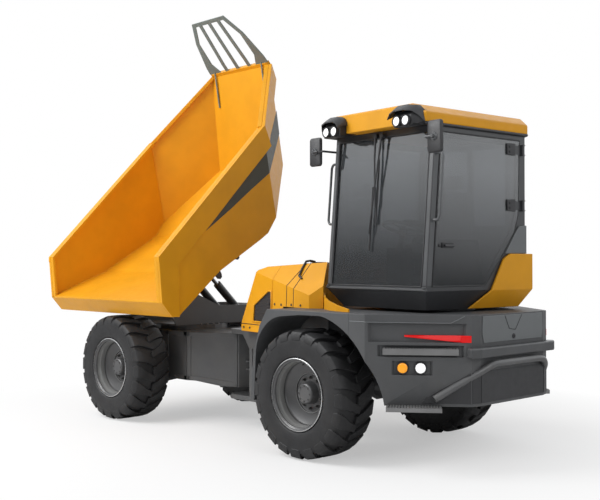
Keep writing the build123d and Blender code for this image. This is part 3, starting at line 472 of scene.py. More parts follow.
# Skip: folded rim along the sides, front edges and slanting rear panels, with a lip on its inner side
side_band = [(0.8197, 2.1901), (1.1335, 1.823), (1.1494, 1.625), (1.0805, 1.553), (0.702, 1.948),
    (-1.194, 1.962), (-1.270, 2.2008)]
side_lip = [(0.8197, 2.1901), (1.1335, 1.823), (1.108, 1.802), (0.805, 2.156), (-1.262, 2.162),
    (-1.270, 2.2008)]
rim_run = (rear_top - bend_high).normalized()
rim_down = panel_out.cross(rim_run)
if rim_down.z > 0:
    rim_down = -rim_down
for label, place in skip_sides:
    rim = Shape(place)
    rim.plate(side_band, 1.094, 0.0306)
    rim.plate(side_lip, 1.030, 0.0535)
    start, stop = bend_high - rim_run * 0.002, rear_top - rim_run * 0.002
    for deep, thick, width in ((-0.001, 0.030, 0.240), (-0.062, 0.050, 0.042)):
        corners = [start, stop, stop + rim_down * width, start + rim_down * width]
        rim.prism([c + panel_out * deep for c in corners], panel_out * thick)
    rim.done("skip_rim_" + label, yellow, "skip", bevel=0.004, segments=3, slot="yellow_paint")

# Skip: weld beads along the seams, and eyes under each side
welds = Shape(skip)
seam_lines = [((-0.675, 1.328), (-1.262, 2.195)), ((0.335, 1.500), (-0.320, 1.326), (-0.460, 1.296),
    (-0.672, 1.334)), ((1.130, 1.836), (0.400, 1.515), (0.335, 1.500))]
for side in (1, -1):
    for seam in seam_lines:
        welds.tube([(f, side * 1.083, z) for f, z in seam], 0.005, 6)
welds.done("skip_welds", yellow, "skip", smooth=60, slot="yellow_paint")
eyes = Shape(skip)
for side in (1, -1):
    for f, y, z, rise in ((0.375, 1.068, 1.488, 0.004), (-0.02, 0.955, 1.3896, 0.012)):
        outline = [(-0.045, -rise + 0.006), (0.045, rise + 0.006), (0.042, -0.050), (0.020, -0.078),
            (-0.010, -0.078), (-0.032, -0.050)]
        eyes.plate([(f + along, z + up) for along, up in outline], side * y, side * 0.016)
        eyes.turned([(0.012, -0.013), (0.026, -0.013), (0.026, 0.013), (0.012, 0.013)],
            (f + 0.005, side * (y + 0.008), z - 0.046), (0, 1, 0), 24)
eyes.done("skip_eyes", cab_dark, "skip", bevel=0.002, slot="chassis_grey")

# Hood: upright sides that widen to the rear, and slanting shoulders up to its top
hood_front_x, hood_front_y = 1.480, 0.540
hood_length, hood_widening = 1.260, 0.240
hood_wide_y, shoulder_low_z = 0.780, 1.460
slant_rise, slant_run = 34, 30


def hood_side(x):
    """Half width of the hood at a distance along the machine."""
    return hood_front_y + (hood_front_x - x) / hood_length * hood_widening


def hood_ring(x, out):
    """Foot, shoulder and top of the hood's left half at a distance along the machine."""
    side_y = hood_side(x) + out
    top_z = 1.780 - (x - 0.100) / 0.960 * 0.055 + out
    shoulder_z = shoulder_low_z + (hood_wide_y - side_y) * slant_rise / slant_run + 1.5 * out
    top_y = hood_wide_y - (top_z - shoulder_low_z) * slant_run / slant_rise + 1.5 * out
    return [(side_y, 1.336), (side_y, shoulder_z), (top_y, top_z)]


def hood_line(foot_x, shoulder_x, top_x, out):
    """Points of a seam over the hood, from the left foot to the right one."""
    half = [(x,) + hood_ring(x, out)[i] for i, x in enumerate((foot_x, shoulder_x, top_x))]
    return mirrored(half)


seams = Shape(machine)
for foot_x, shoulder_x, top_x in ((0.610, 0.600, 0.520), (0.490, 0.480, 0.460)):
    seams.tube(hood_line(foot_x, shoulder_x, top_x, 0.0005), 0.0035, 6)
seams.done("hood_seams", black_plastic, "rear", slot="black_plastic")
straps = Shape(machine)
for side in (1, -1):
    strap = [(0.505, side * 0.470, 1.780), (0.530, side * 0.506, 1.772), (0.525, side * 0.560, 1.713),
        (0.500, side * 0.634, 1.632)]
    straps.tube([(x, y + side * 0.006, z + 0.006) for x, y, z in strap], 0.011, 10)
    straps.tube([(0.500, side * 0.634, 1.638), (0.440, side * 0.662, 1.612)], [0.013, 0.009], 10)
    straps.box((0.455, side * 0.35 - 0.05, 1.758), (0.545, side * 0.35 + 0.05, 1.772))
    straps.tube([(0.505, side * 0.475, 1.782), (0.500, side * 0.420, 1.772)], 0.014, 12)
straps.done("hood_straps", black_plastic, "rear", bevel=0.002, slot="black_plastic")

grille = Shape(machine)
slope = Vector((1.170 - 1.480, 0, 1.690 - 1.130)).normalized()
slope_out = Vector((slope.z, 0, -slope.x))
foot = Vector((1.480, 0, 1.130))
rows, columns = 9, 26
low_along, high_along = (1.375 - 1.130) / slope.z, (1.555 - 1.130) / slope.z
for k in range(rows):
    along = low_along + (high_along - low_along) * k / (rows - 1)
    at = foot + slope * along - slope_out * 0.004
    grille.tube([at + Vector((0, -0.315, 0)), at + Vector((0, 0.315, 0))], 0.0035, 6)
for k in range(columns):
    y = -0.305 + 0.61 * k / (columns - 1)
    ends = [foot + slope * along - slope_out * 0.006 for along in (low_along - 0.01, high_along + 0.01)]
    grille.tube([end + Vector((0, y, 0)) for end in ends], 0.003, 6)
grille.done("hood_mesh_wires", black_plastic, "rear", slot="black_plastic")

window_frame = [(0.880, 1.480), (0.945, 1.480), (1.215, 1.330), (1.240, 1.160), (0.880, 1.160)]
frames = Shape(machine)
slats = Shape(machine)
for side in (1, -1):
    lip = []
    for x, z in window_frame:
        slant_y = hood_wide_y - (z - shoulder_low_z) * slant_run / slant_rise
        lip.append(Vector((x, side * (min(hood_side(x), slant_y) + 0.001), z)))
    frames.tube(lip + [lip[0], lip[1]], 0.008, 8)
    for k in range(8):
        z = 1.185 + 0.034 * k
        x_high = min(1.228 - (z - 1.160) * 0.147, 1.235) if z < 1.330 else 1.215 - (z - 1.330) * 1.8
        slats.tube([(x, side * (hood_side(x) - 0.008), z) for x in (0.886, x_high)], 0.0045, 6)
frames.done("hood_window_lips", yellow, "rear", smooth=60, slot="yellow_paint")
slats.done("hood_window_slats", black_plastic, "rear", slot="black_plastic")

hood_bolts = Shape(machine)
bolt_places = [(0.36, 1.358), (0.52, 1.358), (0.70, 1.352), (0.82, 1.352), (0.93, 1.352), (1.30, 1.090),
    (1.42, 1.090), (1.05, 1.090)]
for side in (1, -1):
    for x, z in bolt_places:
        hood_bolts.bolt((x, side * (hood_side(x) - 0.001), z), (0, side, 0), 0.011, 0.007)
hood_bolts.done("hood_bolts", black_plastic, "rear")
foot_seams = Shape(machine)
foot_line = [(x, hood_side(x) + 0.0003, 1.128) for x in (0.672, 1.479)]
foot_seams.tube(mirrored(foot_line), 0.0035, 6)
foot_seams.done("hood_foot_seam", black_plastic, "rear", slot="black_plastic")

# Rear corners: places on the slanting faces, as distance along, distance out and height
corner_front, corner_back = Vector((-0.795, 1.125, 0)), Vector((-1.485, 0.570, 0))
corner_run = (corner_back - corner_front).normalized()
corner_out = Vector((corner_run.y, -corner_run.x, 0))


def corner(side, along, out, z):
    """Point on a rear corner, by the distance along its slanting face and out from it."""
    point = corner_front + corner_run * along + corner_out * out
    return Vector((point.x, side * point.y, z))


def corner_normal(side):
    """Direction straight out from a rear corner's slanting face."""
    return Vector((corner_out.x, side * corner_out.y, 0))


lamp_z, lens_radius = 0.890, 0.042
turn_along, marker_along = 0.315, 0.465
tooth_pitch = 0.024
step_shapes = [(0.152, 0.778, 1.0525, 1.001, 0.0205), (0.182, 0.638, 0.5755, 0.541, 0.1205)]
ledges, bezels, treads, teeth = [Shape(machine) for _ in range(4)]
for side in (1, -1):
    out = corner_normal(side)
    line = [Vector((-0.620, side * 1.1255, 1.272)), Vector((-0.790, side * 1.1255, 1.272)),
        corner(side, 0.010, 0.0005, 1.271), corner(side, 0.715, 0.0005, 1.266),
        corner(side, 0.830, 0.0005, 1.325)]
    ledges.tube(line, 0.0035, 6)
    for along in (turn_along, marker_along):
        centre = corner(side, along, -0.0255, lamp_z)
        bezels.turned([(lens_radius + 0.001, 0.0), (lens_radius + 0.012, 0.0), (lens_radius + 0.012, 0.022),
            (lens_radius + 0.006, 0.030), (lens_radius + 0.001, 0.026)], centre, out, 40)
    for low, high, z_high, z_low, out_far in step_shapes:
        count = int((high - low) / tooth_pitch)
        for k in range(count):
            a0 = low + (high - low) * (k + 0.2) / count
            a1 = low + (high - low) * (k + 0.8) / count
            plan = ((a0, -0.018), (a1, -0.018), (a1, out_far - 0.003), (a0, out_far - 0.003))
            teeth.prism([corner(side, along, reach, z_high) for along, reach in plan], (0, 0, 0.006))
        face = ((low, z_low), (high, z_low), (high, z_high), (low, z_high))
        treads.prism([corner(side, along, out_far, z) for along, z in face], out * 0.003)
ledges.done("cover_ledges", panel_grey, "rear", smooth=60)
bezels.done("lamp_bezels", black_plastic, "rear", smooth=40, slot="black_plastic")
teeth.done("step_teeth", grating, "rear", bevel=0.001, segments=1)
treads.done("step_faces", grating, "rear", bevel=0.0012, segments=1)

lenses = [("turn_lamps", turn_along, amber_lens, "amber_lens"), ("marker_lamps", marker_along, white_lens,
    "white_lens")]
for replaced, along, look, slot_name in lenses:
    lens = Shape(machine)
    for side in (1, -1):
        lens.turned([(0.0004, -0.0257), (0.042, -0.0257), (0.042, 0.000), (0.040, 0.004), (0.030, 0.0066),
            (0.015, 0.0078), (0.0004, 0.008)], corner(side, along, 0, lamp_z), corner_normal(side), 40)
    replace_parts(lens.done("domed_" + replaced, look, "rear", smooth=50, slot=slot_name), replaced)

# Rear face: cover panel with its notch and lock, and the tube guard
rear_x = -1.510
panel = Shape(machine)
panel.prism([(rear_x, -0.455, 1.322), (rear_x, 0.455, 1.322), (rear_x, 0.462, 1.180),
    (rear_x, 0.440, 1.098), (rear_x, -0.440, 1.098), (rear_x, -0.462, 1.180)], (-0.006, 0, 0))
panel.done("rear_panel", panel_grey, "rear", bevel=0.004, segments=3)
notch = Shape(machine)
notch.tube([(rear_x - 0.0062, y, z) for y, z in ((0.135, 1.318), (0.070, 1.205), (-0.025, 1.190),
    (-0.125, 1.318))], 0.0035, 6)
notch.turned([(0.0004, 0.0), (0.022, 0.0), (0.022, 0.006), (0.016, 0.008), (0.0004, 0.004)],
    (rear_x - 0.005, 0.0, 1.135), (-1, 0, 0), 28)
notch.box((rear_x - 0.016, -0.004, 1.126), (rear_x - 0.008, 0.004, 1.144))
notch.done("rear_panel_notch", black_plastic, "rear", smooth=40, slot="black_plastic")
tube_path = [(-1.270, 0.790, 0.640), (-1.515, 0.500, 0.860), (-1.556, 0.400, 0.912), (-1.560, 0.330, 0.925)]
guard_tube = Shape(machine)
guard_points = [Vector(p) for p in mirrored(tube_path)]


def rounded(points, radius, steps=5):
    """Path with its inner corners drawn as arcs."""
    result = [points[0]]
    for before, at, after in zip(points, points[1:], points[2:]):
        cut = min(radius, (at - before).length * 0.45, (after - at).length * 0.45)
        start, end = at + (before - at).normalized() * cut, at + (after - at).normalized() * cut
        for k in range(steps + 1):
            t = k / steps
            result.append(start * (1 - t) ** 2 + at * 2 * t * (1 - t) + end * t ** 2)
    return result + [points[-1]]


guard_tube.tube(rounded(guard_points, 0.08), 0.0309, 24)
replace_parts(guard_tube.done("round_tube_guard", frame_grey, "rear", smooth=60, slot="chassis_grey"),
    "tube_guard")

# Dark sheets low on the rear face and corners, a painted shadow under the tube guard, and the outer ends of
# the red strips
guard_shadow_sheets, strip_ends = Shape(machine), Shape(machine)
# Painted shadow: black sheets just below the tube guard, their top edge following the tube
guard_shadow_sheets.prism([(rear_x, -0.474, 0.600), (rear_x, 0.474, 0.600), (rear_x, 0.474, 0.862),
    (rear_x, -0.474, 0.862)], (-0.005, 0, 0))
for side in (1, -1):
    out = corner_normal(side)
    face = ((0.470, 0.600), (0.880, 0.600), (0.880, 0.858), (0.500, 0.640))
    guard_shadow_sheets.prism([corner(side, along, 0.0, z) for along, z in face], out * 0.005)
    ridge = [Vector((-1.4865, side * 0.565, z)) for z in (0.600, 0.858)]
    guard_shadow_sheets.prism([ridge[0], Vector((rear_x - 0.001, side * 0.482, 0.600)),
        Vector((rear_x - 0.001, side * 0.482, 0.860)), ridge[1]], (-0.004, side * 0.001, 0))
    for start, stop, deep, high in ((0.7995, 0.8498, -0.033, 0.003), (0.849, 0.883, -0.001, 0.0038)):
        outline = [(start, 1.1065), (stop, 1.1065), (stop, 1.1645), (start, 1.1645)]
        strip_ends.prism([corner(side, along, deep, z) for along, z in outline], out * (high - deep))
guard_shadow_sheets.done("painted_guard_shadow", black_plastic, "rear", bevel=0.0015, slot="black_plastic")
strip_ends.done("red_strip_ends", red_lens, "rear", slot="red_lens")

# Cab hand rails, along its raked front
cab_sill_z, cab_top_z = 1.525, 2.950


def front_x(z):
    """Where the raked front of the cab is at a height."""
    return 0.720 - 0.120 * (z - cab_sill_z) / (cab_top_z - cab_sill_z)


rail_tubes = Shape(cab)
for side in (1, -1):
    points = []
    for z, out in ((2.700, 0.0003), (2.700, 0.060), (2.670, 0.080), (2.160, 0.080), (2.130, 0.060),
            (2.130, 0.0003)):
        points.append(Vector((front_x(z) - 0.030, side * (0.632 + out), z)))
    rail_tubes.tube(rounded(points, 0.03), 0.0118, 16)
    for end in (points[0], points[-1]):
        rail_tubes.turned([(0.0004, 0.0), (0.024, 0.0), (0.024, 0.005), (0.0004, 0.007)], end, (0, side, 0),
            24)
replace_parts(rail_tubes.done("round_grab_rails", pillar_grey, "cab", smooth=50, slot="cab_dark"),
    "grab_rails")

# Chassis: raised borders on the side plates, gussets at the yoke, pivot caps and bolts
borders = Shape(machine)


def border(corners, out, width):
    """Raised frame round a flat panel given by its corners."""
    height, sunk = 0.008, 0.002
    corners = [Vector(c) for c in corners]
    out = Vector(out).normalized()
    centre = sum(corners, Vector()) / len(corners)
    for k in range(len(corners)):
        here, there = corners[k], corners[(k + 1) % len(corners)]
        along = (there - here).normalized()
        inward = out.cross(along)
        if inward.dot(centre - here) < 0:
            inward = -inward
        outline = [here, there, there + inward * width, here + inward * width]
        borders.prism([point - out * sunk for point in outline], out * (height + sunk))


flat_panels = [
    (((2.405, 0.450), (2.600, 0.450), (2.790, 0.405), (2.790, 0.985), (2.405, 0.985)), 0.045),
    (((2.900, 0.695), (3.475, 0.695), (3.475, 0.985), (2.900, 0.985)), 0.035),
]
for side in (1, -1):
    taper_out = (-0.25, 0.6 * side, 0)
    border([(1.815, side * 0.30625, 0.405), (2.395, side * 0.54792, 0.455), (2.395, side * 0.54792, 0.985),
        (1.815, side * 0.30625, 0.985)], taper_out, 0.045)
    for outline, width in flat_panels:
        border([(x, side * 0.550, z) for x, z in outline], (0, side, 0), width)
borders.done("front_frame_borders", frame_grey, "front", bevel=0.002, slot="chassis_grey")

rear_borders = Shape(machine)
gusset_shapes = [
    (0.405, 0.020, ((1.452, 0.800), (1.452, 0.999), (1.585, 0.999))),
    (0.450, 0.008, ((0.770, 0.352), (1.440, 0.352), (1.440, 0.395), (0.770, 0.395))),
    (0.450, 0.008, ((1.400, 0.395), (1.445, 0.395), (1.445, 0.860), (1.400, 0.860))),
]
for side in (1, -1):
    for y, thick, outline in gusset_shapes:
        rear_borders.plate(outline, side * y, side * thick)
rear_borders.done("yoke_gussets", frame_grey, "rear", bevel=0.002, slot="chassis_grey")
pivot_x = 1.620
caps = Shape(machine)
caps.turned([(0.0004, 1.0805), (0.092, 1.0805), (0.096, 1.084), (0.096, 1.092), (0.088, 1.097),
    (0.0004, 1.097)], (pivot_x, 0, 0), (0, 0, 1), 48)
caps.turned([(0.0004, 0.225), (0.080, 0.225), (0.110, 0.240), (0.112, 0.262), (0.150, 0.266),
    (0.152, 0.2995), (0.0004, 0.2995)], (pivot_x, 0, 0), (0, 0, 1), 48)
for (upper_x, upper_y), (lower_x, lower_y) in zip(circle(8, 0.070), circle(8, 0.132)):
    caps.bolt((pivot_x + upper_x, upper_y, 1.0965), (0, 0, 1), 0.010, 0.008)
    caps.bolt((pivot_x + lower_x, lower_y, 0.267), (0, 0, -1), 0.010, 0.008)
caps.done("pivot_caps", frame_grey, "rear", smooth=40, slot="chassis_grey")

ring_bolts = Shape(carrier)
for x, y in circle(32, 0.425):
    ring_bolts.bolt((x, y, 1.040), (0, 0, 1), 0.011, 0.009)
ring_bolts.done("turntable_bolts", bright_steel_and_highlight, "carrier")
pin_ends = Shape(carrier)
for side in (1, -1):
    pin_ends.turned([(0.0004, 0.0), (0.0285, 0.0), (0.0285, 0.004), (0.024, 0.008), (0.0004, 0.008)],
        (0.620, side * 0.4695, 1.450), (0, side, 0), 28)
pin_ends.done("tip_pin_ends", bright_steel_and_highlight, "carrier", smooth=40)

# Tip cylinders: round barrels and rods with their eyes
base = Vector((-0.620, 0, 1.130))
tip_eye = (carrier.inverted() @ skip) @ Vector((-0.010, 0, 1.320))
line = tip_eye - base
cylinder_run, cylinder_length = line.normalized(), line.length
barrels, rams = Shape(carrier), Shape(carrier)
for y in (0.200, -0.200):
    start = base + Vector((0, y, 0))
    barrels.turned([(0.0004, 0.026), (0.034, 0.030), (0.034, 0.092), (0.044, 0.096), (0.048, 0.100),
        (0.048, 0.516), (0.0475, 0.520), (0.0475, 0.5385), (0.046, 0.540), (0.0285, 0.540), (0.0285, 0.110),
        (0.0004, 0.110)], start, cylinder_run, 40)
    barrels.turned([(0.0223, -0.037), (0.050, -0.037), (0.050, 0.037), (0.0223, 0.037)], start, (0, 1, 0),
        40)
    rams.turned([(0.0004, 0.460), (0.028, 0.460), (0.028, cylinder_length), (0.0004, cylinder_length)],
        start, cylinder_run, 40)
    rams.turned([(0.0004, -0.030), (0.046, -0.030), (0.046, 0.030), (0.0004, 0.030)], start + line,
        (0, 1, 0), 40)
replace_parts(barrels.done("round_tip_barrels", cab_dark, "tip_barrels", smooth=50, slot="cylinder_steel"),
    "tip_barrels")
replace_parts(rams.done("round_tip_rods", chrome, "tip_rods", smooth=50, slot="rod_chrome"), "tip_rods")

# Cab trim
def door_outline(inset):
    """Outline (x, z) of the door, drawn in by an inset."""
    low, high = 1.565 + inset, 2.890 - inset
    return [(front_x(low) - 0.070 - inset, low), (-0.040 + inset, low), (-0.285 + inset, 1.840 + inset),
        (-0.445 + inset, 2.040 + inset), (-0.500 + inset, 2.200), (-0.520 + inset, high),
        (front_x(high) - 0.070 - inset, high)]


for name, body, side in (("door_pane", "door", 1), ("side_pane", "cab", -1)):
    pane = Shape(cab)
    pane.plate(door_outline(0.010), side * 0.6325, side * 0.004)
    pane.done(name, door_glass_look, body, bevel=0.0012, segments=1, slot="tinted_glass")
gasket = Shape(cab)
for side in (1, -1):
    loop = [Vector((x, side * 0.633, z)) for x, z in door_outline(0.001)]
    gasket.tube(loop + [loop[0], loop[1]], 0.0055, 8)
front_loop = [Vector((front_x(z) - 0.001, y, z)) for y, z in ((-0.577, 1.565), (0.577, 1.565),
    (0.577, 2.890), (-0.577, 2.890))]
gasket.tube(front_loop + [front_loop[0], front_loop[1]], 0.0055, 8)
gasket.done("window_gaskets", black_plastic, "cab", smooth=60, slot="black_plastic")

pillar_section = [(-0.060, 0.630), (-0.060, 0.6345), (-0.010, 0.6345), (0.0015, 0.626), (0.003, 0.612),
    (0.003, 0.588), (-0.002, 0.588)]
pillars = Shape(cab)
for side in (1, -1):
    rings = []
    for z in (1.575, 2.880):
        x = front_x(z)
        rings.append(pillars.ring([(x + ahead, side * y, z) for ahead, y in pillar_section]))
    pillars.skin(rings)
pillars.done("front_pillars", pillar_grey, "cab", bevel=0.002, slot="cab_dark")
sill = Shape(cab)
sill.plate([(0.712, 1.528), (0.728, 1.530), (0.730, 1.545), (0.716, 1.552)], -0.640, 1.280)
sill.done("windscreen_sill", pillar_grey, "cab", bevel=0.002, slot="cab_dark")
sill_caps = Shape(cab)
for side in (1, -1):
    sill_caps.tube([(0.724, side * 0.612, 1.548), (0.724, side * 0.612, 1.562)], 0.018, 20)
sill_caps.done("sill_caps", pillar_grey, "cab", bevel=0.002, slot="cab_dark")

door_trim = Shape(cab)
for z in (2.290, 2.800):
    door_trim.plate([(-0.440, z - 0.055), (-0.330, z - 0.050), (-0.325, z + 0.050), (-0.440, z + 0.055)],
        0.6375, 0.012)
    for bolt_z in (z + 0.022, z - 0.022):
        door_trim.bolt((-0.365, 0.649, bolt_z), (0, 1, 0), 0.011, 0.006)
door_trim.plate([(0.535, 1.895), (0.395, 1.893), (0.390, 1.935), (0.535, 1.940)], 0.637, 0.010)
door_trim.turned([(0.0004, 0.0), (0.016, 0.0), (0.016, 0.006), (0.0004, 0.009)], (0.560, 0.637, 1.917),
    (0, 1, 0), 24)
door_trim.done("door_fittings", black_plastic, "door", bevel=0.002, slot="black_plastic")
lower_panel = Shape(cab)
lower_panel.plate([(0.630, 1.578), (0.020, 1.578), (0.075, 1.958), (0.605, 1.958)], 0.632, -0.003)
lower_panel.done("door_lower_panel", cab_dark, "door", slot="cab_dark")

cowl_panel = Shape(cab)
for side in (1, -1):
    cowl_panel.plate([(-0.300, 1.850), (-0.597, 1.850), (-0.597, 2.110), (-0.500, 2.100), (-0.452, 2.050)],
        side * 0.6335, side * 0.014)
    quarter = [Vector((-0.600, side * 0.634, 0)), Vector((-0.872, side * 0.251, 0))]
    run = (quarter[1] - quarter[0]).normalized()
    out = Vector((run.y, -run.x, 0)) * side
    heights = ((0, 1.850), (1, 1.850), (1, 2.095), (0, 2.110))
    cowl_panel.prism([quarter[end] + Vector((0, 0, z)) for end, z in heights], out * 0.014)
cowl_panel.prism([(-0.871, -0.250, 1.850), (-0.871, 0.250, 1.850), (-0.871, 0.250, 2.095),
    (-0.871, -0.250, 2.095)], (-0.014, 0, 0))
cowl_panel.done("cowl_panels", panel_grey, "cab", bevel=0.004, slot="cover_grey")

roof_seal = Shape(cab)
plan = [(0.735, 0.650), (-0.607, 0.650), (-0.890, 0.256), (-0.890, -0.256), (-0.607, -0.650),
    (0.735, -0.650)]
roof_seal.tube([Vector((x, y, 2.944)) for x, y in plan], 0.012, 8)
roof_seal.done("roof_seal", black_plastic, "cab", smooth=60, slot="black_plastic")
work_lamp_z = 2.968
work_lamp_places = [side * y for side in (1, -1) for y in (0.405, 0.510)]
lamp_lens = Shape(cab)
for y in work_lamp_places:
    lamp_lens.turned([(0.0004, 0.0), (0.040, 0.0), (0.040, 0.018), (0.037, 0.0225), (0.022, 0.025),
        (0.0004, 0.0257)], (0.8203, y, work_lamp_z), (1, 0, 0), 36)
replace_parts(lamp_lens.done("domed_work_lamps", white_lens, "cab", smooth=50, slot="white_lens"),
    "work_lamps")
visors = Shape(cab)
for side in (1, -1):
    rings = []
    for y, top, back, rear in ((0.322, 3.045, 0.0, 0.700), (0.345, 3.086, 0.0, 0.700),
            (0.390, 3.108, 0.0, 0.700), (0.500, 3.112, 0.010, 0.700), (0.580, 3.098, 0.030, 0.700),
            (0.628, 3.056, 0.075, 0.700), (0.647, 3.005, 0.125, 0.690)):
        outline = [(rear, 0.020), (rear + 0.030, 0.0), (0.806 - back, 0.004), (0.868 - back, 0.050),
            (0.868 - back, 0.060), (0.792 - back, 0.028), (rear, 0.032)]
        rings.append(visors.ring([(x, side * y, top - down) for x, down in outline]))
    visors.skin(rings)
    rings = []
    for y, points in ((0.560, ((0.690, 2.935), (0.815, 2.935), (0.820, 3.000), (0.800, 3.072),
            (0.690, 3.082))), (0.615, ((0.690, 2.940), (0.775, 2.945), (0.785, 3.000), (0.765, 3.056),
            (0.690, 3.060))), (0.647, ((0.690, 2.955), (0.735, 2.957), (0.742, 2.975), (0.730, 2.995),
            (0.690, 3.000)))):
        rings.append(visors.ring([(x, side * y, z) for x, z in points]))
    visors.skin(rings)
visors.done("lamp_visors", black_plastic, "cab", smooth=50, slot="black_plastic")

wipers = Shape(cab)
top = 2.905
for y, low, lean in ((0.02, 2.03, -0.10), (-0.06, 2.27, 0.04)):
    wipers.tube([(front_x(top) + 0.002, y, top), (front_x(top) + 0.045, y, top)], 0.022, 16)
    wipers.tube([(front_x(top) + 0.038, y, top), (front_x(2.7) + 0.040, y + lean * 0.2, 2.7),
        (front_x(low) + 0.030, y + lean, low)], [0.011, 0.009, 0.006], 10)
    blade_low, blade_high = low - 0.16, low + 0.42
    for offset, radius in ((0.012, 0.007), (0.004, 0.004)):
        wipers.tube([(front_x(blade_low) + offset, y + lean, blade_low),
            (front_x(blade_high) + offset, y + lean, blade_high)], radius, 8)
    wipers.tube([(front_x(low) + 0.028, y + lean, low), (front_x(low) + 0.008, y + lean, low)], 0.010, 8)
wipers.done("wipers", black_plastic, "cab", slot="black_plastic")


def rounded_plate(shape, centre_y, centre_z, half_y, half_z, radius, layers):
    """Upright plate with round corners, from (x, inset) layers."""
    rings = []
    for x, inset in layers:
        points = []
        for corner_y, corner_z, start in ((1, 1, 0.0), (-1, 1, 0.5), (-1, -1, 1.0), (1, -1, 1.5)):
            for k in range(6):
                angle = pi * (start + k / 10)
                points.append((x, centre_y + corner_y * (half_y - radius) + (radius - inset) * cos(angle),
                    centre_z + corner_z * (half_z - radius) + (radius - inset) * sin(angle)))
        rings.append(shape.ring(points))
    shape.skin(rings)


mirror_y, mirror_z = 0.765, 2.815
housings, mirror_trim, mirror_faces = Shape(cab), Shape(cab), Shape(cab)
for side in (1, -1):
    rounded_plate(housings, side * mirror_y, mirror_z, 0.080, 0.135, 0.028,
        ((0.735, 0.003), (0.738, 0.0), (0.754, 0.0), (0.761, 0.004), (0.765, 0.012)))
    rounded_plate(mirror_faces, side * mirror_y, mirror_z, 0.068, 0.122, 0.022,
        ((0.7325, 0.001), (0.7355, 0.0)))
    arm_x = front_x(mirror_z) - 0.030
    arm = [Vector((x, side * y, mirror_z)) for x, y in ((arm_x, 0.6323), (arm_x, 0.662), (0.750, 0.662),
        (0.750, 0.692))]
    housings.tube(rounded(arm, 0.02), 0.010, 12)
    for back, front, radii, count in ((0.762, 0.779, [0.040, 0.031], 24),
            (0.778, 0.796, [0.019, 0.015], 16)):
        mirror_trim.tube([(x, side * mirror_y, mirror_z) for x in (back, front)], radii, count)
    mirror_trim.tube([(0.780, side * mirror_y, mirror_z), (0.792, side * 0.690, 2.812)], [0.012, 0.009], 10)
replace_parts(housings.done("round_mirrors", black_plastic, "cab", smooth=40, slot="black_plastic"),
    "mirrors")
mirror_trim.done("mirror_knobs", pillar_grey, "cab", bevel=0.002, slot="black_plastic")
mirror_faces.done("mirror_glass", mirror_glass, "cab", bevel=0.001)

lamp_rims = Shape(cab)
for y in work_lamp_places:
    lamp_rims.turned([(0.0395, 0.0), (0.047, 0.0), (0.049, 0.012), (0.047, 0.028), (0.0425, 0.031),
        (0.0395, 0.026)], (0.8205, y, work_lamp_z), (1, 0, 0), 40)
lamp_rims.done("lamp_rims", black_plastic, "cab", smooth=60, slot="black_plastic")

# Seat: two crowned cushions, head rest and arm rests on the seat frame
def cushion(name, low, high, crown, steps=10):
    """Crowned closed pad between two corners, its sides pulled in between the corners."""
    shape = Shape(cab)
    low, high = Vector(low), Vector(high)
    middle, half = (low + high) / 2, (high - low) / 2
    grid = {}

    def vertex(axis, end, i, j):
        point = [0.0, 0.0, 0.0]
        point[axis] = end
        point[(axis + 1) % 3] = -1 + 2 * i / steps
        point[(axis + 2) % 3] = -1 + 2 * j / steps
        key = tuple(round(p, 5) for p in point)
        if key not in grid:
            u = Vector(point)
            place = Vector((middle[n] + half[n] * u[n] for n in range(3)))
            for n in range(3):
                a, b = u[(n + 1) % 3], u[(n + 2) % 3]
                bulge = crown * (1 - a * a) * (1 - b * b)
                place[n] += u[n] * (bulge - crown)
            grid[key] = shape.mesh.verts.new(place)
        return grid[key]

    for axis in range(3):
        for end in (-1, 1):
            for i in range(steps):
                for j in range(steps):
                    square = ((0, 0), (1, 0), (1, 1), (0, 1))
                    shape.mesh.faces.new([vertex(axis, end, i + di, j + dj) for di, dj in square])
    made = shape.done(name, seat_cloth, "cab", smooth=80, slot="seat_cloth")
    rounding = made.modifiers.new("smooth", "SUBSURF")
    rounding.levels = rounding.render_levels = 1
    return made


seat_piece = cushion("seat_cushion", (-0.330, -0.240, 1.830), (0.130, 0.240, 1.960), 0.018)
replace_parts(seat_piece, "seat")
cushion("back_cushion", (-0.360, -0.235, 1.955), (-0.235, 0.235, 2.440), 0.018)
cushion("head_rest", (-0.350, -0.130, 2.455), (-0.260, 0.130, 2.600), 0.012)
seat_frame = Shape(cab)
seat_frame.box((-0.30, -0.19, 1.566), (0.09, 0.19, 1.640))
for k in range(7):
    z = 1.645 + 0.024 * k
    inset = 0.012 if k % 2 else 0.0
    seat_frame.box((-0.27 + inset, -0.16 + inset, z), (0.06 - inset, 0.16 - inset, z + 0.0235))
seat_frame.box((-0.34, -0.225, 1.815), (0.11, 0.225, 1.835))
for side in (1, -1):
    seat_frame.box((-0.28, side * 0.275 - 0.03, 2.130), (0.06, side * 0.275 + 0.03, 2.175))
    seat_frame.tube([(-0.25, side * 0.275, 2.135), (-0.28, side * 0.262, 1.84)], 0.016, 12)
    seat_frame.tube([(-0.30, side * 0.06, 2.43), (-0.305, side * 0.06, 2.50)], 0.008, 10)
seat_frame.done("seat_frame", black_plastic, "cab", bevel=0.004, slot="black_plastic")

# Camera at the photograph's place
sensor_width, focal_pixels, picture_pixels = 36, 951.8, 600
camera_data = bpy.data.cameras.new("camera")
camera_data.sensor_width = sensor_width
camera_data.lens = sensor_width * focal_pixels / picture_pixels
camera = placed("camera", camera_data)
camera.location = machine @ Vector((-6.161, 7.068, 1.791))
camera.rotation_euler = Vector((0.7188, -0.6951, 0.0106)).to_track_quat("-Z", "Y").to_euler()
scene.camera = camera
bpy.context.scene.view_settings.view_transform = "Standard"

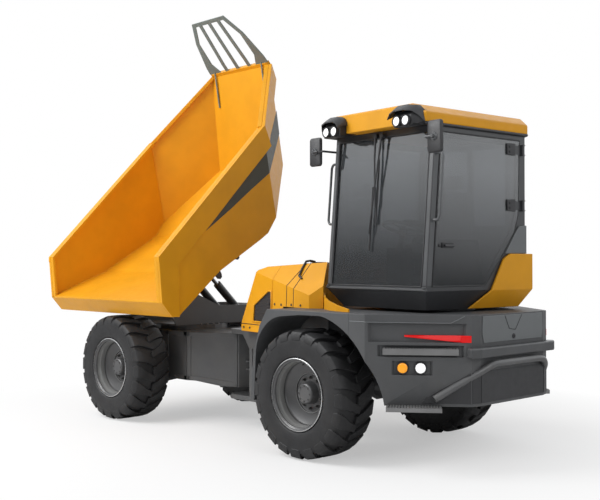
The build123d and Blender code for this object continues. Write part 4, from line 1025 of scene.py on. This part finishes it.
# World: white for the camera, soft for light, and for gloss a sky that is dark low down
world = bpy.data.worlds.new("world")
scene.world = world
world.use_nodes = True
sky = world.node_tree
sky.nodes.clear()


def background(color, strength):
    """One plain world background."""
    node = sky.nodes.new("ShaderNodeBackground")
    node.inputs["Color"].default_value = color + (1,)
    node.inputs["Strength"].default_value = strength
    return node


def chosen(factor, first, second):
    """The second of two backgrounds where a factor is one."""
    node = sky.nodes.new("ShaderNodeMixShader")
    sky.links.new(factor, node.inputs["Fac"])
    sky.links.new(first.outputs[0], node.inputs[1])
    sky.links.new(second.outputs[0], node.inputs[2])
    return node


path = sky.nodes.new("ShaderNodeLightPath")
direction = sky.nodes.new("ShaderNodeTexCoord")
height = sky.nodes.new("ShaderNodeVectorMath")
height.operation = "DOT_PRODUCT"
height.inputs[1].default_value = (0, -0.11, 1)
sky.links.new(direction.outputs["Generated"], height.inputs[0])
gloss = background((0.96, 0.98, 1.0), 1.0)
sky.links.new(ramp(sky, height.outputs["Value"], 0.05, 0.17, 0.10, 1.35), gloss.inputs["Strength"])
bounced = chosen(path.outputs["Is Glossy Ray"], background((0.97, 0.98, 1.0), 0.40), gloss)
whole = chosen(path.outputs["Is Camera Ray"], bounced, background((1.0, 1.0, 1.0), 1.0))
sky.links.new(whole.outputs["Shader"], sky.nodes.new("ShaderNodeOutputWorld").inputs["Surface"])


def area_light(name, place, target, size, power):
    """Soft square lamp that faces a point."""
    data = bpy.data.lights.new(name, "AREA")
    data.size = size
    data.energy = power
    lamp = placed(name, data)
    lamp.location = machine @ Vector(place)
    lamp.rotation_euler = (Vector(target) - Vector(place)).to_track_quat("-Z", "Y").to_euler()


area_light("key", (4.5, 7.0, 8.0), (1.0, 0.0, 1.0), 6.0, 950)
area_light("fill", (-8.0, 2.0, 5.0), (0.5, 0.0, 1.2), 5.0, 130)

# Floor: keeps the shadow near the machine and fades to white further out
floor_mesh = bpy.data.meshes.new("floor")
reach = 40
floor_mesh.from_pydata([(-reach, -reach, 0), (reach, -reach, 0), (reach, reach, 0), (-reach, reach, 0)], [],
    [(0, 1, 2, 3)])
floor = placed("floor", floor_mesh)
floor_look = bpy.data.materials.new("floor")
floor_look.use_nodes = True
tree = floor_look.node_tree
matt = tree.nodes["Principled BSDF"]
matt.inputs["Base Color"].default_value = (0.86, 0.86, 0.86, 1)
matt.inputs["Roughness"].default_value = 0.9
white = tree.nodes.new("ShaderNodeEmission")
place = tree.nodes.new("ShaderNodeTexCoord")
length = tree.nodes.new("ShaderNodeVectorMath")
length.operation = "LENGTH"
path = tree.nodes.new("ShaderNodeLightPath")
blend = tree.nodes.new("ShaderNodeMixShader")
tree.links.new(place.outputs["Object"], length.inputs[0])
whitened = ramp(tree, length.outputs["Value"], 1.6, 4.8, 0.45, 1.0)
tree.links.new(product(tree, whitened, path.outputs["Is Camera Ray"]), blend.inputs["Fac"])
tree.links.new(matt.outputs["BSDF"], blend.inputs[1])
tree.links.new(white.outputs["Emission"], blend.inputs[2])
tree.links.new(blend.outputs["Shader"], tree.nodes["Material Output"].inputs["Surface"])
floor_mesh.materials.append(floor_look)
